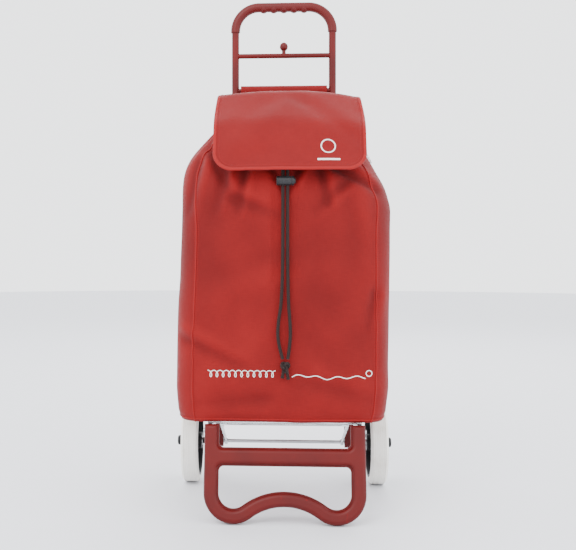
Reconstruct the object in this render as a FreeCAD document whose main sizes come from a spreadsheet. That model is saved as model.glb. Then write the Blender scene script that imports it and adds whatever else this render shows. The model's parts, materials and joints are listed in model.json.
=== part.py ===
"""Two-wheeled shopping trolley: painted steel frame, folding base with a moulded foot, fabric bag.

Axes: the front, with the foot and the flap, faces -Y; +X is to the right as seen from the
front; +Z is up.  The origin is on the floor, below the middle of the trolley's bounding box.
Distances called "reach" are measured forward of the axle.  Sizes are millimetres and degrees.
"""

import FreeCAD, Part

import math
import os

import Sketcher

Vector = FreeCAD.Vector
X_AXIS = Vector(1, 0, 0)
Y_AXIS = Vector(0, 1, 0)
Z_AXIS = Vector(0, 0, 1)
SIDES = (("left", -1), ("right", 1))

doc = FreeCAD.newDocument("shopping_trolley")
sheet = doc.addObject("Spreadsheet::Sheet", "Sizes")

SIZES = (
    # overall
    ("total_height", 1000.0),
    ("clearance", 0.3),
    ("run_clearance", 0.05),
    # steel tube frame
    ("tube_diameter", 15.0),
    ("tube_wall", 1.2),
    ("handle_width", 217.0),
    ("handle_bend", 50.0),
    ("frame_track", 272.0),
    ("splay_bend", 60.0),
    ("splay_low", 240.0),
    ("splay_high", 350.0),
    ("joint_height", 520.0),
    ("spigot_length", 90.0),
    ("collar_length", 46.0),
    ("collar_wall", 2.6),
    ("rivet_head", 7.0),
    ("rivet_height", 1.6),
    ("cross_rod_diameter", 10.0),
    ("cross_rod_height", 889.0),
    ("hanger_rod_height", 816.0),
    ("brace_height", 420.0),
    ("grip_diameter", 19.2),
    ("finger_swell", 2.6),
    ("finger_pitch", 21.0),
    ("peg_diameter", 17.0),
    ("peg_height", 23.0),
    ("peg_neck_diameter", 8.0),
    # axle and wheels
    ("axle_diameter", 8.0),
    ("wheel_diameter", 168.0),
    ("tyre_width", 34.0),
    ("tyre_depth", 13.0),
    ("tyre_edge", 4.0),
    ("rib_depth", 1.0),
    ("rib_width", 1.6),
    ("rim_shell", 5.0),
    ("wheel_track", 382.0),
    ("hub_diameter", 34.0),
    ("hub_length", 40.0),
    ("bush_wall", 3.0),
    ("web_thickness", 4.0),
    ("window_diameter", 24.0),
    ("washer_diameter", 18.0),
    ("washer_thickness", 1.5),
    ("spacer_diameter", 13.0),
    ("cap_diameter", 20.0),
    ("cap_length", 9.0),
    # axle brackets and base hinge
    ("bracket_width", 20.0),
    ("bracket_top", 226.0),
    ("socket_floor", 168.0),
    ("pivot_reach", 60.0),
    ("pivot_height", 157.0),
    ("pivot_boss", 13.0),
    ("pivot_pin_diameter", 6.0),
    # folding base
    ("arm_thickness", 8.0),
    ("arm_depth", 18.0),
    ("platform_rod_diameter", 6.0),
    ("platform_rod_reach", 178.0),
    ("front_rod_reach", 242.0),
    ("pad_width", 20.0),
    ("board_width", 228.0),
    ("board_thickness", 3.0),
    ("board_rear", 40.0),
    # moulded foot
    ("foot_width", 288.0),
    ("foot_bar", 24.0),
    ("foot_thickness", 21.0),
    ("foot_round", 8.0),
    ("foot_corner", 41.0),
    ("foot_crest", 30.0),
    ("foot_lean", 13.0),
    ("foot_reach", 312.0),
    ("foot_top", 161.0),
    ("crossbar_height", 104.0),
    ("crossbar_depth", 28.0),
    ("window_corner", 9.0),
    ("lip_width", 2.4),
    ("lip_thickness", 6.0),
    ("foot_land", 0.5),
    ("screw_diameter", 4.0),
    ("screw_head", 8.0),
    ("screw_inset", 5.0),
    # support bail
    ("bail_diameter", 6.0),
    ("bail_width", 247.0),
    ("bail_reach", 170.0),
    ("bail_height", 152.0),
    ("bail_bend", 14.0),
    # bag
    ("bag_width", 380.0),
    ("bag_depth", 261.2),
    ("bag_bottom", 172.3),
    ("bag_shoulder", 600.0),
    ("bag_neck_height", 748.0),
    ("bag_mouth_height", 768.0),
    ("bag_wall", 2.5),
    ("bag_gap", 2.0),
    ("bag_corner", 58.0),
    ("bag_draw", 34.0),
    ("bag_swell", 38.0),
    ("shoulder_height_share", 0.6),
    ("shoulder_width_share", 0.46),
    ("shoulder_depth_share", 0.74),
    ("shoulder_set_back", 4.0),
    ("neck_corner", 50.0),
    ("neck_set_back", 22.2),
    ("neck_width", 232.0),
    ("neck_depth", 150.0),
    ("hem_wall", 3.0),
    ("back_top_width", 180.0),
    ("label_width", 12.0),
    ("label_length", 20.0),
    ("label_thickness", 1.0),
    ("label_height", 650.0),
    ("label_reach", 160.0),
    # flap
    ("flap_thickness", 2.5),
    ("flap_top_width", 268.0),
    ("flap_low_width", 276.0),
    ("flap_shift", 9.0),
    ("flap_drop", 6.0),
    ("flap_seam_set", 6.0),
    ("flap_crest", 784.0),
    ("flap_crest_set", 84.0),
    ("flap_front_set", 18.0),
    ("flap_front_rise", 16.0),
    ("flap_low_stand", 23.0),
    ("flap_crest_bend", 34.0),
    ("flap_front_bend", 70.0),
    ("flap_low", 625.0),
    ("flap_corner", 36.0),
    ("flap_side_bend", 60.0),
    ("flap_side_ease", 40.0),
    ("binding_width", 6.0),
    ("binding_wall", 0.9),
    # drawstring
    ("eyelet_diameter", 17.0),
    ("eyelet_share", 0.79),
    ("cord_diameter", 6.0),
    ("cord_spacing", 8.4),
    ("cord_shift", 1.0),
    ("cord_gap", 1.5),
    ("cord_bulge_left", 14.0),
    ("cord_bulge_right", 9.5),
    ("cord_ease_left", 12.0),
    ("cord_ease_right", 8.5),
    ("lock_diameter", 17.0),
    ("lock_length", 31.0),
    ("lock_height", 607.0),
    ("lock_wall", 1.8),
    ("lock_wire", 0.7),
    ("lock_coils", 3.0),
    ("button_diameter", 11.0),
    ("button_travel", 2.5),
    ("knot_width", 18.0),
    ("knot_length", 34.0),
)

for row, (alias, value) in enumerate(SIZES, start=1):
    sheet.set(f"A{row}", alias)
    sheet.set(f"B{row}", str(value))
    sheet.setAlias(f"B{row}", alias)
doc.recompute()


def size(alias):
    """A driving dimension from the sheet, in millimetres (or degrees)."""
    return float(getattr(sheet, alias))


LEAN = "foot_lean * 1deg"
FLAT_THICK = "(foot_thickness / 2 - foot_round)"
FLAT_BAR = "(foot_bar / 2 - foot_round)"
FORMULAS = (
    ("axle_y", "=(foot_reach - wheel_diameter / 2) / 2"),
    ("axle_z", "=wheel_diameter / 2"),
    ("foot_centre",
     f"=foot_reach - foot_round - {FLAT_THICK} * cos({LEAN}) - {FLAT_BAR} * sin({LEAN})"),
    ("foot_drop",
     f"=foot_round + {FLAT_THICK} * sin({LEAN}) + {FLAT_BAR} * cos({LEAN}) - foot_land"),
    ("arm_front", f"=foot_centre - (pivot_height - foot_drop) * tan({LEAN})"),
    ("arm_low", "=pivot_height - arm_depth / 2"),
    ("arm_top", "=pivot_height + arm_depth / 2"),
    ("rod_z", "=arm_top + platform_rod_diameter / 2"),
    ("yoke_reach", "=tube_diameter / 2 + bag_gap"),
    ("bag_back_reach", "=yoke_reach + bag_wall + clearance"),
    ("bracket_column", "=2 * (yoke_reach + bag_wall)"),
    ("bag_front_reach", "=bag_back_reach + bag_depth"),
    ("cord_reach", "=bag_front_reach + lock_diameter / 2 + cord_gap"),
    ("handle_x", "=(handle_width - tube_diameter) / 2"),
    ("frame_x", "=frame_track / 2"),
    ("wheel_x", "=wheel_track / 2"),
    ("grip_z", "=total_height - grip_diameter / 2"),
)
for row, (alias, formula) in enumerate(FORMULAS, start=len(SIZES) + 2):
    sheet.set(f"A{row}", alias)
    sheet.set(f"B{row}", formula)
    sheet.setAlias(f"B{row}", alias)
doc.recompute()
AXLE_Y = size("axle_y")

nodes = []


def forward(reach, x=0.0, z=0.0):
    """The point a given distance forward of the axle."""
    return Vector(x, AXLE_Y - reach, z)


def keep(feature, label):
    """Marks a document object as one finished piece under its node name."""
    feature.Label = label
    nodes.append(feature)
    return feature


def bind(feature, **formulas):
    """Binds properties to sheet formulas; place_x, place_y and place_z are the position."""
    for name, formula in formulas.items():
        target = "Placement.Base." + name[-1] if name.startswith("place_") else name
        feature.setExpression(target, formula)
    return feature


def cylinder(name, radius, length, axis=Z_AXIS, **place):
    """A Part::Cylinder along an axis, its radius, length and place bound to formulas."""
    feature = doc.addObject("Part::Cylinder", name)
    feature.Placement = FreeCAD.Placement(Vector(), FreeCAD.Rotation(Z_AXIS, axis))
    return bind(feature, Radius=radius, Height=length, **place)


def block(name, length, width, height, **place):
    """A Part::Box with its low corner at the bound place."""
    feature = doc.addObject("Part::Box", name)
    return bind(feature, Length=length, Width=width, Height=height, **place)


def cut(name, base, *tools):
    """The base with every tool taken away, one Part::Cut after another."""
    for index, tool in enumerate(tools):
        step = doc.addObject("Part::Cut", f"{name}_cut{index}")
        step.Base = base
        step.Tool = tool
        base = step
    return base


def join(name, *parts):
    """One Part::MultiFuse of all the parts."""
    feature = doc.addObject("Part::MultiFuse", name)
    feature.Shapes = list(parts)
    feature.Refine = True
    return feature


def group(name, *parts):
    """Separate solids of identical pieces, kept as one compound."""
    feature = doc.addObject("Part::Compound", name)
    feature.Links = list(parts)
    return feature


def solid(name, shape):
    """A Part::Feature that holds a shape made from sheet sizes."""
    feature = doc.addObject("Part::Feature", name)
    feature.Shape = shape
    return feature


def route(points, bends):
    """A wire of straight runs joined by tangent arcs; bends has one radius per inner point."""
    edges = []
    start = points[0]
    for index in range(1, len(points) - 1):
        corner = points[index]
        before = (corner - points[index - 1]).normalize()
        after = (points[index + 1] - corner).normalize()
        turn = before.getAngle(after)
        back_off = bends[index - 1] * math.tan(turn / 2)
        arc_in = corner - before * back_off
        arc_out = corner + after * back_off
        inward = (after - before).normalize()
        centre = corner + inward * (bends[index - 1] / math.cos(turn / 2))
        middle = centre - inward * bends[index - 1]
        edges.append(Part.LineSegment(start, arc_in).toShape())
        edges.append(Part.Arc(arc_in, middle, arc_out).toShape())
        start = arc_out
    edges.append(Part.LineSegment(start, points[-1]).toShape())
    return Part.Wire(edges)


def sweep(wire, radius):
    """A round solid of the given radius along a wire."""
    start = wire.Edges[0].valueAt(wire.Edges[0].FirstParameter)
    direction = wire.Edges[0].tangentAt(wire.Edges[0].FirstParameter)
    ring = Part.Wire([Part.makeCircle(radius, start, direction)])
    return wire.makePipeShell([ring], True, True)


def bent_tube(wire, diameter, wall):
    """A hollow tube along a wire."""
    return sweep(wire, diameter / 2).cut(sweep(wire, diameter / 2 - wall))


def origin_item(body, role):
    """One of a body's own origin planes or axes, by its role."""
    return next(item for item in body.Origin.OriginFeatures if item.Role == role)


def new_sketch(body, name, role="XY_Plane"):
    """A sketch on one of the body's own origin planes."""
    drawing = body.newObject("Sketcher::SketchObject", name)
    drawing.AttachmentSupport = [(origin_item(body, role), "")]
    drawing.MapMode = "FlatFace"
    return drawing


def bound(drawing, constraint, formula):
    """Adds a dimension to a sketch and binds it to a sheet formula."""
    index = drawing.addConstraint(constraint)
    drawing.setExpression(f"Constraints[{index}]", formula)


def closed_loop(drawing, points, formulas):
    """Draws a closed outline of straight lines and binds each corner's place.

    points are (a, b) pairs; formulas the pair of sheet formulas that each one follows."""
    count = len(points)
    first = drawing.GeometryCount
    for index, (a, b) in enumerate(points):
        c, d = points[(index + 1) % count]
        drawing.addGeometry(Part.LineSegment(Vector(a, b, 0), Vector(c, d, 0)), False)
    for index in range(count):
        following = first + (index + 1) % count
        drawing.addConstraint(Sketcher.Constraint("Coincident", first + index, 2, following, 1))
    for index, ((a, b), (formula_a, formula_b)) in enumerate(zip(points, formulas)):
        line = first + index
        if formula_a:
            bound(drawing, Sketcher.Constraint("DistanceX", -1, 1, line, 1, a), formula_a)
        else:
            drawing.addConstraint(Sketcher.Constraint("PointOnObject", line, 1, -2))
        if formula_b:
            bound(drawing, Sketcher.Constraint("DistanceY", -1, 1, line, 1, b), formula_b)
        else:
            drawing.addConstraint(Sketcher.Constraint("PointOnObject", line, 1, -1))


def bound_circle(drawing, radius, formula, a=0.0, b=0.0, formula_a="", formula_b=""):
    """A circle whose radius, and centre where it has one, follow the sheet."""
    line = drawing.GeometryCount
    drawing.addGeometry(Part.Circle(Vector(a, b, 0), Z_AXIS, radius), False)
    bound(drawing, Sketcher.Constraint("Radius", line, radius), formula)
    if formula_a:
        bound(drawing, Sketcher.Constraint("DistanceX", -1, 1, line, 3, a), formula_a)
    else:
        drawing.addConstraint(Sketcher.Constraint("PointOnObject", line, 3, -2))
    if formula_b:
        bound(drawing, Sketcher.Constraint("DistanceY", -1, 1, line, 3, b), formula_b)
    else:
        drawing.addConstraint(Sketcher.Constraint("PointOnObject", line, 3, -1))


def turned(label, outline, formulas):
    """A PartDesign body turned from a half outline (radius, along) about its own Y axis,
    then laid so that this axis runs along X."""
    body = doc.addObject("PartDesign::Body", label + "_body")
    drawing = new_sketch(body, label + "_profile")
    closed_loop(drawing, outline, formulas)
    turn = body.newObject("PartDesign::Revolution", label + "_turn")
    turn.Profile = drawing
    turn.ReferenceAxis = (drawing, ["V_Axis"])
    turn.Angle = 360.0
    body.Tip = turn
    body.Placement = FreeCAD.Placement(Vector(), FreeCAD.Rotation(Y_AXIS, X_AXIS))
    return body


# ---------------------------------------------------------------- tube frame


def make_handle_loop():
    """The inverted U of steel tube, from the joint up over the grip and down again."""
    x, top, low = size("handle_x"), size("grip_z"), size("joint_height")
    points = [forward(0, -x, low), forward(0, -x, top), forward(0, x, top), forward(0, x, low)]
    wire = route(points, [size("handle_bend")] * 2)
    tube = bent_tube(wire, size("tube_diameter"), size("tube_wall"))
    keep(solid("HandleLoop", tube), "handle_loop")


def grip_wire():
    """The stretch of the handle's centreline that the grip covers."""
    x, top, bend = size("handle_x"), size("grip_z"), size("handle_bend")
    low = top - bend - 2
    points = [forward(0, -x, low), forward(0, -x, top), forward(0, x, top), forward(0, x, low)]
    return route(points, [bend] * 2)


def make_handle_grip():
    """The moulded grip over the handle's top and bends, with five finger swells below."""
    radius = size("grip_diameter") / 2
    shape = sweep(grip_wire(), radius)
    for step in (-2, -1, 0, 1, 2):
        centre = forward(0, step * size("finger_pitch"), size("grip_z") - size("finger_swell"))
        shape = shape.fuse(Part.makeSphere(radius, centre))
    x, top, low = size("handle_x"), size("grip_z"), size("joint_height")
    points = [forward(0, -x, low), forward(0, -x, top), forward(0, x, top), forward(0, x, low)]
    tube = sweep(route(points, [size("handle_bend")] * 2), size("tube_diameter") / 2)
    keep(solid("HandleGrip", shape.cut(tube)), "handle_grip")


def make_cross_rod(label, height):
    """A round rod between the two handle tubes; its ends are coped to the tubes."""
    rod = cylinder(label + "_bar", "Sizes.cross_rod_diameter / 2", "2 * Sizes.handle_x", X_AXIS,
                   place_x="-Sizes.handle_x", place_y="Sizes.axle_y", place_z=f"Sizes.{height}")
    copes = []
    for side, sign in SIDES:
        copes.append(cylinder(f"{label}_cope_{side}", "Sizes.tube_diameter / 2", "80",
                              place_x=f"{sign} * Sizes.handle_x", place_y="Sizes.axle_y",
                              place_z=f"Sizes.{height} - 40"))
    keep(cut(label, rod, *copes), label)


def make_hook_peg():
    """The egg-shaped hook peg on a short neck, standing on the upper cross rod."""
    rod = size("cross_rod_diameter") / 2
    neck, half = size("peg_neck_diameter") / 2, size("peg_diameter") / 2
    foot = forward(0, 0, size("cross_rod_height"))
    egg = Part.makeSphere(half, Vector())
    stretch = FreeCAD.Matrix()
    stretch.scale(1, 1, 0.4 * size("peg_height") / half)
    egg = egg.transformGeometry(stretch)
    egg.translate(foot + Z_AXIS * (rod + 0.6 * size("peg_height")))
    stem = Part.makeCylinder(neck, rod + 0.4 * size("peg_height"), foot, Z_AXIS)
    bar = Part.makeCylinder(rod, 4 * half, foot - X_AXIS * 2 * half, X_AXIS)
    keep(solid("HookPeg", egg.fuse(stem).cut(bar)), "hook_peg")


def splay_route(x_sign):
    """A lower tube's centreline: up from the bracket, inward, then up to the joint."""
    wide, narrow = x_sign * size("frame_x"), x_sign * size("handle_x")
    return route(
        [
            forward(0, wide, size("socket_floor")),
            forward(0, wide, size("splay_low")),
            forward(0, narrow, size("splay_high")),
            forward(0, narrow, size("joint_height")),
        ],
        [size("splay_bend")] * 2,
    )


def make_lower_tube(side, sign):
    """One lower frame tube."""
    tube = bent_tube(splay_route(sign), size("tube_diameter"), size("tube_wall"))
    keep(solid(f"LowerTube_{side}", tube), f"lower_tube_{side}")


def make_joint(side, sign):
    """The spigot inside the two tubes at their joint, and the collar outside."""
    bore = "(Sizes.tube_diameter / 2 - Sizes.tube_wall - Sizes.run_clearance)"
    outer = cylinder(f"Spigot_outer_{side}", bore, "Sizes.spigot_length",
                     place_x=f"{sign} * Sizes.handle_x", place_y="Sizes.axle_y",
                     place_z="Sizes.joint_height - Sizes.spigot_length / 2")
    inner = cylinder(f"Spigot_bore_{side}", f"{bore} - 1.2", "Sizes.spigot_length",
                     place_x=f"{sign} * Sizes.handle_x", place_y="Sizes.axle_y",
                     place_z="Sizes.joint_height - Sizes.spigot_length / 2")
    keep(cut(f"Spigot_{side}", outer, inner), f"tube_spigot_{side}")
    shell = cylinder(f"Collar_outer_{side}", "Sizes.tube_diameter / 2 + Sizes.collar_wall",
                     "Sizes.collar_length", place_x=f"{sign} * Sizes.handle_x",
                     place_y="Sizes.axle_y", place_z="Sizes.joint_height - Sizes.collar_length / 2")
    hole = cylinder(f"Collar_bore_{side}", "Sizes.tube_diameter / 2 + Sizes.run_clearance",
                    "Sizes.collar_length", place_x=f"{sign} * Sizes.handle_x",
                    place_y="Sizes.axle_y", place_z="Sizes.joint_height - Sizes.collar_length / 2")
    keep(cut(f"Collar_{side}", shell, hole), f"tube_collar_{side}")


def make_joint_rivets():
    """The domed rivet heads, two on the back of each collar, that hold the tubes together."""
    heads = []
    for side, sign in SIDES:
        for level, share in (("low", -1), ("high", 1)):
            heads.append(cylinder(
                f"Rivet_{side}_{level}", "Sizes.rivet_head / 2", "Sizes.rivet_height", Y_AXIS,
                place_x=f"{sign} * Sizes.handle_x",
                place_y="Sizes.axle_y + Sizes.tube_diameter / 2 + Sizes.collar_wall"
                        " + Sizes.run_clearance",
                place_z=f"Sizes.joint_height + {share} * Sizes.collar_length / 4"))
    keep(group("JointRivets", *heads), "joint_rivets")


def make_axle_bracket(side, sign):
    """The moulded bracket: a column with the tube socket and the axle hole, and a toe with
    the slot and the pin hole of the base hinge."""
    half = "Sizes.bracket_width / 2"
    low = f"{sign} * Sizes.frame_x - {half}"
    column = block(f"Bracket_column_{side}", "Sizes.bracket_width", "Sizes.bracket_column",
                   "Sizes.bracket_top - Sizes.axle_z", place_x=low,
                   place_y="Sizes.axle_y - Sizes.bracket_column / 2", place_z="Sizes.axle_z")
    heel = cylinder(f"Bracket_heel_{side}", "Sizes.bracket_column / 2", "Sizes.bracket_width",
                    X_AXIS, place_x=low, place_y="Sizes.axle_y", place_z="Sizes.axle_z")
    toe = block(f"Bracket_toe_{side}", "Sizes.bracket_width", "Sizes.pivot_reach",
                "2 * Sizes.pivot_boss", place_x=low,
                place_y="Sizes.axle_y - Sizes.pivot_reach",
                place_z="Sizes.pivot_height - Sizes.pivot_boss")
    boss = cylinder(f"Bracket_boss_{side}", "Sizes.pivot_boss", "Sizes.bracket_width", X_AXIS,
                    place_x=low, place_y="Sizes.axle_y - Sizes.pivot_reach",
                    place_z="Sizes.pivot_height")
    body = join(f"Bracket_solid_{side}", column, heel, toe, boss)
    axle_hole = cylinder(f"Bracket_axle_hole_{side}", "Sizes.axle_diameter / 2 + Sizes.run_clearance",
                         "Sizes.bracket_width", X_AXIS, place_x=low,
                         place_y="Sizes.axle_y", place_z="Sizes.axle_z")
    socket = cylinder(f"Bracket_socket_{side}", "Sizes.tube_diameter / 2 + Sizes.run_clearance",
                      "Sizes.bracket_top - Sizes.socket_floor",
                      place_x=f"{sign} * Sizes.frame_x", place_y="Sizes.axle_y",
                      place_z="Sizes.socket_floor")
    pin_hole = cylinder(f"Bracket_pin_hole_{side}",
                        "Sizes.pivot_pin_diameter / 2 + Sizes.run_clearance",
                        "Sizes.bracket_width", X_AXIS, place_x=low,
                        place_y="Sizes.axle_y - Sizes.pivot_reach", place_z="Sizes.pivot_height")
    slot = block(f"Bracket_slot_{side}", "Sizes.arm_thickness + 2 * Sizes.clearance",
                 "2 * Sizes.pivot_boss + 4", "2 * Sizes.pivot_boss + 4",
                 place_x=f"{sign} * Sizes.frame_x - Sizes.arm_thickness / 2 - Sizes.clearance",
                 place_y="Sizes.axle_y - Sizes.pivot_reach - Sizes.pivot_boss - 4",
                 place_z="Sizes.pivot_height - Sizes.pivot_boss - 2")
    window = block(f"Bracket_window_{side}", "Sizes.bracket_width",
                   "Sizes.pivot_reach - 2 * Sizes.pivot_boss - 18", "Sizes.pivot_boss",
                   place_x=low, place_y="Sizes.axle_y - Sizes.pivot_reach + Sizes.pivot_boss + 6",
                   place_z="Sizes.pivot_height - Sizes.pivot_boss / 2")
    keep(cut(f"Bracket_{side}", body, axle_hole, socket, pin_hole, slot, window),
         f"axle_bracket_{side}")


def make_pivot_pins():
    """The two steel pins of the base hinge, one through each bracket and arm."""
    pins = []
    for side, sign in SIDES:
        pins.append(cylinder(f"Pivot_pin_{side}", "Sizes.pivot_pin_diameter / 2",
                             "Sizes.bracket_width + 3", X_AXIS,
                             place_x=f"{sign} * Sizes.frame_x - Sizes.bracket_width / 2 - 1.5",
                             place_y="Sizes.axle_y - Sizes.pivot_reach",
                             place_z="Sizes.pivot_height"))
    keep(group("PivotPins", *pins), "pivot_pins")


# ---------------------------------------------------------------- axle and wheels


def make_axle():
    """The plain steel axle right across the trolley, with chamfered ends in the caps."""
    reach = "(Sizes.wheel_x + Sizes.hub_length / 2 + 2 * Sizes.washer_thickness + 5)"
    rod = cylinder("Axle_rod", "Sizes.axle_diameter / 2", f"2 * {reach}", X_AXIS,
                   place_x=f"-{reach}", place_y="Sizes.axle_y", place_z="Sizes.axle_z")
    keep(rod, "axle")


def ring_on_axle(name, radius, bore, length, start):
    """A ring around the axle, from a given X."""
    outer = cylinder(name + "_outer", radius, length, X_AXIS, place_x=start,
                     place_y="Sizes.axle_y", place_z="Sizes.axle_z")
    inner = cylinder(name + "_bore", bore, length, X_AXIS, place_x=start,
                     place_y="Sizes.axle_y", place_z="Sizes.axle_z")
    return cut(name, outer, inner)


AXLE_BORE = "Sizes.axle_diameter / 2 + Sizes.run_clearance"
HUB_IN = "(Sizes.wheel_x - Sizes.hub_length / 2 - Sizes.clearance)"
HUB_OUT = "(Sizes.wheel_x + Sizes.hub_length / 2 + Sizes.clearance)"
BRACKET_OUT = "(Sizes.frame_x + Sizes.bracket_width / 2)"


def outward(sign, start, length):
    """The low-X formula of something that starts at |X| = start and runs outward."""
    return start if sign > 0 else f"-({start} + {length})"


def make_axle_spacer(side, sign):
    """The plastic sleeve that keeps a wheel off its bracket."""
    length = f"({HUB_IN} - Sizes.washer_thickness - {BRACKET_OUT} - Sizes.clearance)"
    ring = ring_on_axle(f"Spacer_{side}", "Sizes.spacer_diameter / 2", AXLE_BORE, length,
                        outward(sign, BRACKET_OUT, length))
    keep(ring, f"axle_spacer_{side}")


def make_washers():
    """Four flat washers, one each side of each hub."""
    rings = []
    thick = "Sizes.washer_thickness"
    for side, sign in SIDES:
        for place, start in (("in", f"({HUB_IN} - {thick})"), ("out", HUB_OUT)):
            rings.append(ring_on_axle(f"Washer_{place}_{side}", "Sizes.washer_diameter / 2",
                                      AXLE_BORE, thick, outward(sign, start, thick)))
    keep(group("AxleWashers", *rings), "axle_washers")


def make_axle_cap(side, sign):
    """The push-on cap that retains a wheel: a domed cup over the axle's end."""
    start = f"({HUB_OUT} + Sizes.washer_thickness + 0.2)"
    cup = cylinder(f"Cap_cup_{side}", "Sizes.cap_diameter / 2", "Sizes.cap_length", X_AXIS,
                   place_x=outward(sign, start, "Sizes.cap_length"),
                   place_y="Sizes.axle_y", place_z="Sizes.axle_z")
    dome = doc.addObject("Part::Fillet", f"Cap_dome_{side}")
    doc.recompute()
    dome.Base = cup
    rim = max(
        (number for number, edge in enumerate(cup.Shape.Edges, start=1)
         if edge.Curve.TypeId == "Part::GeomCircle"),
        key=lambda number: sign * cup.Shape.Edges[number - 1].Curve.Center.x,
    )
    dome.Edges = [(rim, 3.5, 3.5)]
    hole_length = "(Sizes.washer_thickness + 5)"
    hole = cylinder(f"Cap_hole_{side}", AXLE_BORE, hole_length, X_AXIS,
                    place_x=outward(sign, f"({start} - 0.5)", hole_length),
                    place_y="Sizes.axle_y", place_z="Sizes.axle_z")
    keep(cut(f"Cap_{side}", dome, hole), f"axle_cap_{side}")


def make_tyre(side, sign):
    """The ribbed tyre: a turned ring with five shallow grooves round its tread."""
    outer, half = size("wheel_diameter") / 2, size("tyre_width") / 2
    inner = outer - size("tyre_depth")
    rim = "Sizes.wheel_diameter / 2"
    seat = "Sizes.wheel_diameter / 2 - Sizes.tyre_depth"
    edge = size("tyre_edge")
    outline = [(inner, -half), (outer - edge, -half), (outer, -half + edge),
               (outer, half - edge), (outer - edge, half), (inner, half)]
    formulas = [(seat, "-Sizes.tyre_width / 2"),
                (f"{rim} - Sizes.tyre_edge", "-Sizes.tyre_width / 2"),
                (rim, "-Sizes.tyre_width / 2 + Sizes.tyre_edge"),
                (rim, "Sizes.tyre_width / 2 - Sizes.tyre_edge"),
                (f"{rim} - Sizes.tyre_edge", "Sizes.tyre_width / 2"),
                (seat, "Sizes.tyre_width / 2")]
    body = turned(f"tyre_{side}", outline, formulas)
    depth, wide = size("rib_depth"), size("rib_width")
    drawing = new_sketch(body, f"tyre_grooves_{side}")
    for step in (-2, -1, 0, 1, 2):
        middle = step * (size("tyre_width") - 2 * edge) / 5
        near, far = middle - wide / 2, middle + wide / 2
        low, high = outer - depth, outer + 1.0
        share = f"{step} * (Sizes.tyre_width - 2 * Sizes.tyre_edge) / 5"
        closed_loop(drawing, [(low, near), (high, near), (high, far), (low, far)],
                    [(f"{rim} - Sizes.rib_depth", f"{share} - Sizes.rib_width / 2"),
                     (f"{rim} + 1", f"{share} - Sizes.rib_width / 2"),
                     (f"{rim} + 1", f"{share} + Sizes.rib_width / 2"),
                     (f"{rim} - Sizes.rib_depth", f"{share} + Sizes.rib_width / 2")])
    groove = body.newObject("PartDesign::Groove", f"tyre_groove_{side}")
    groove.Profile = drawing
    groove.ReferenceAxis = (drawing, ["V_Axis"])
    groove.Angle = 360.0
    body.Tip = groove
    bind(body, place_x=f"{sign} * Sizes.wheel_x", place_y="Sizes.axle_y", place_z="Sizes.axle_z")
    keep(body, f"tyre_{side}")


def make_rim(side, sign):
    """The moulded wheel centre: hub, web with six round windows, and the rim under the tyre."""
    seat = size("wheel_diameter") / 2 - size("tyre_depth") - size("run_clearance")
    seat_formula = "Sizes.wheel_diameter / 2 - Sizes.tyre_depth - Sizes.run_clearance"
    half, hub, web = size("tyre_width") / 2, size("hub_length") / 2, size("web_thickness") / 2
    bore = size("axle_diameter") / 2 + size("bush_wall")
    bore_formula = "Sizes.axle_diameter / 2 + Sizes.bush_wall + Sizes.run_clearance"
    lip = seat - size("rim_shell")
    lip_formula = f"{seat_formula} - Sizes.rim_shell"
    hub_out = size("hub_diameter") / 2
    hub_formula = "Sizes.hub_diameter / 2"
    outline = [(bore, -hub), (hub_out, -hub), (hub_out, -web), (lip, -web), (lip, -half),
               (seat, -half), (seat, half), (lip, half), (lip, web), (hub_out, web),
               (hub_out, hub), (bore, hub)]
    along_hub, along_web = "Sizes.hub_length / 2", "Sizes.web_thickness / 2"
    along_rim = "Sizes.tyre_width / 2"
    formulas = [(bore_formula, f"-{along_hub}"), (hub_formula, f"-{along_hub}"),
                (hub_formula, f"-{along_web}"), (lip_formula, f"-{along_web}"),
                (lip_formula, f"-{along_rim}"), (seat_formula, f"-{along_rim}"),
                (seat_formula, along_rim), (lip_formula, along_rim),
                (lip_formula, along_web), (hub_formula, along_web),
                (hub_formula, along_hub), (bore_formula, along_hub)]
    body = turned(f"wheel_rim_{side}", outline, formulas)
    middle = (hub_out + lip) / 2
    drawing = new_sketch(body, f"rim_window_{side}", "XZ_Plane")
    bound_circle(drawing, size("window_diameter") / 2, "Sizes.window_diameter / 2",
                 a=middle, formula_a=f"({hub_formula} + {lip_formula}) / 2")
    pocket = body.newObject("PartDesign::Pocket", f"rim_pocket_{side}")
    pocket.Profile = drawing
    pocket.Type = 1
    pocket.Midplane = True
    pattern = body.newObject("PartDesign::PolarPattern", f"rim_windows_{side}")
    pattern.Originals = [pocket]
    pattern.Axis = (origin_item(body, "Y_Axis"), [""])
    pattern.Angle = 360
    pattern.Occurrences = 6
    body.Tip = pattern
    bind(body, place_x=f"{sign} * Sizes.wheel_x", place_y="Sizes.axle_y", place_z="Sizes.axle_z")
    keep(body, f"wheel_rim_{side}")


def make_bush(side, sign):
    """The bearing bush in the hub; it turns on the axle with a running clearance."""
    start = f"{sign} * Sizes.wheel_x - Sizes.hub_length / 2"
    ring = ring_on_axle(f"Bush_{side}", "Sizes.axle_diameter / 2 + Sizes.bush_wall", AXLE_BORE,
                        "Sizes.hub_length", start)
    keep(ring, f"wheel_bush_{side}")


# ---------------------------------------------------------------- folding base


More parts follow.
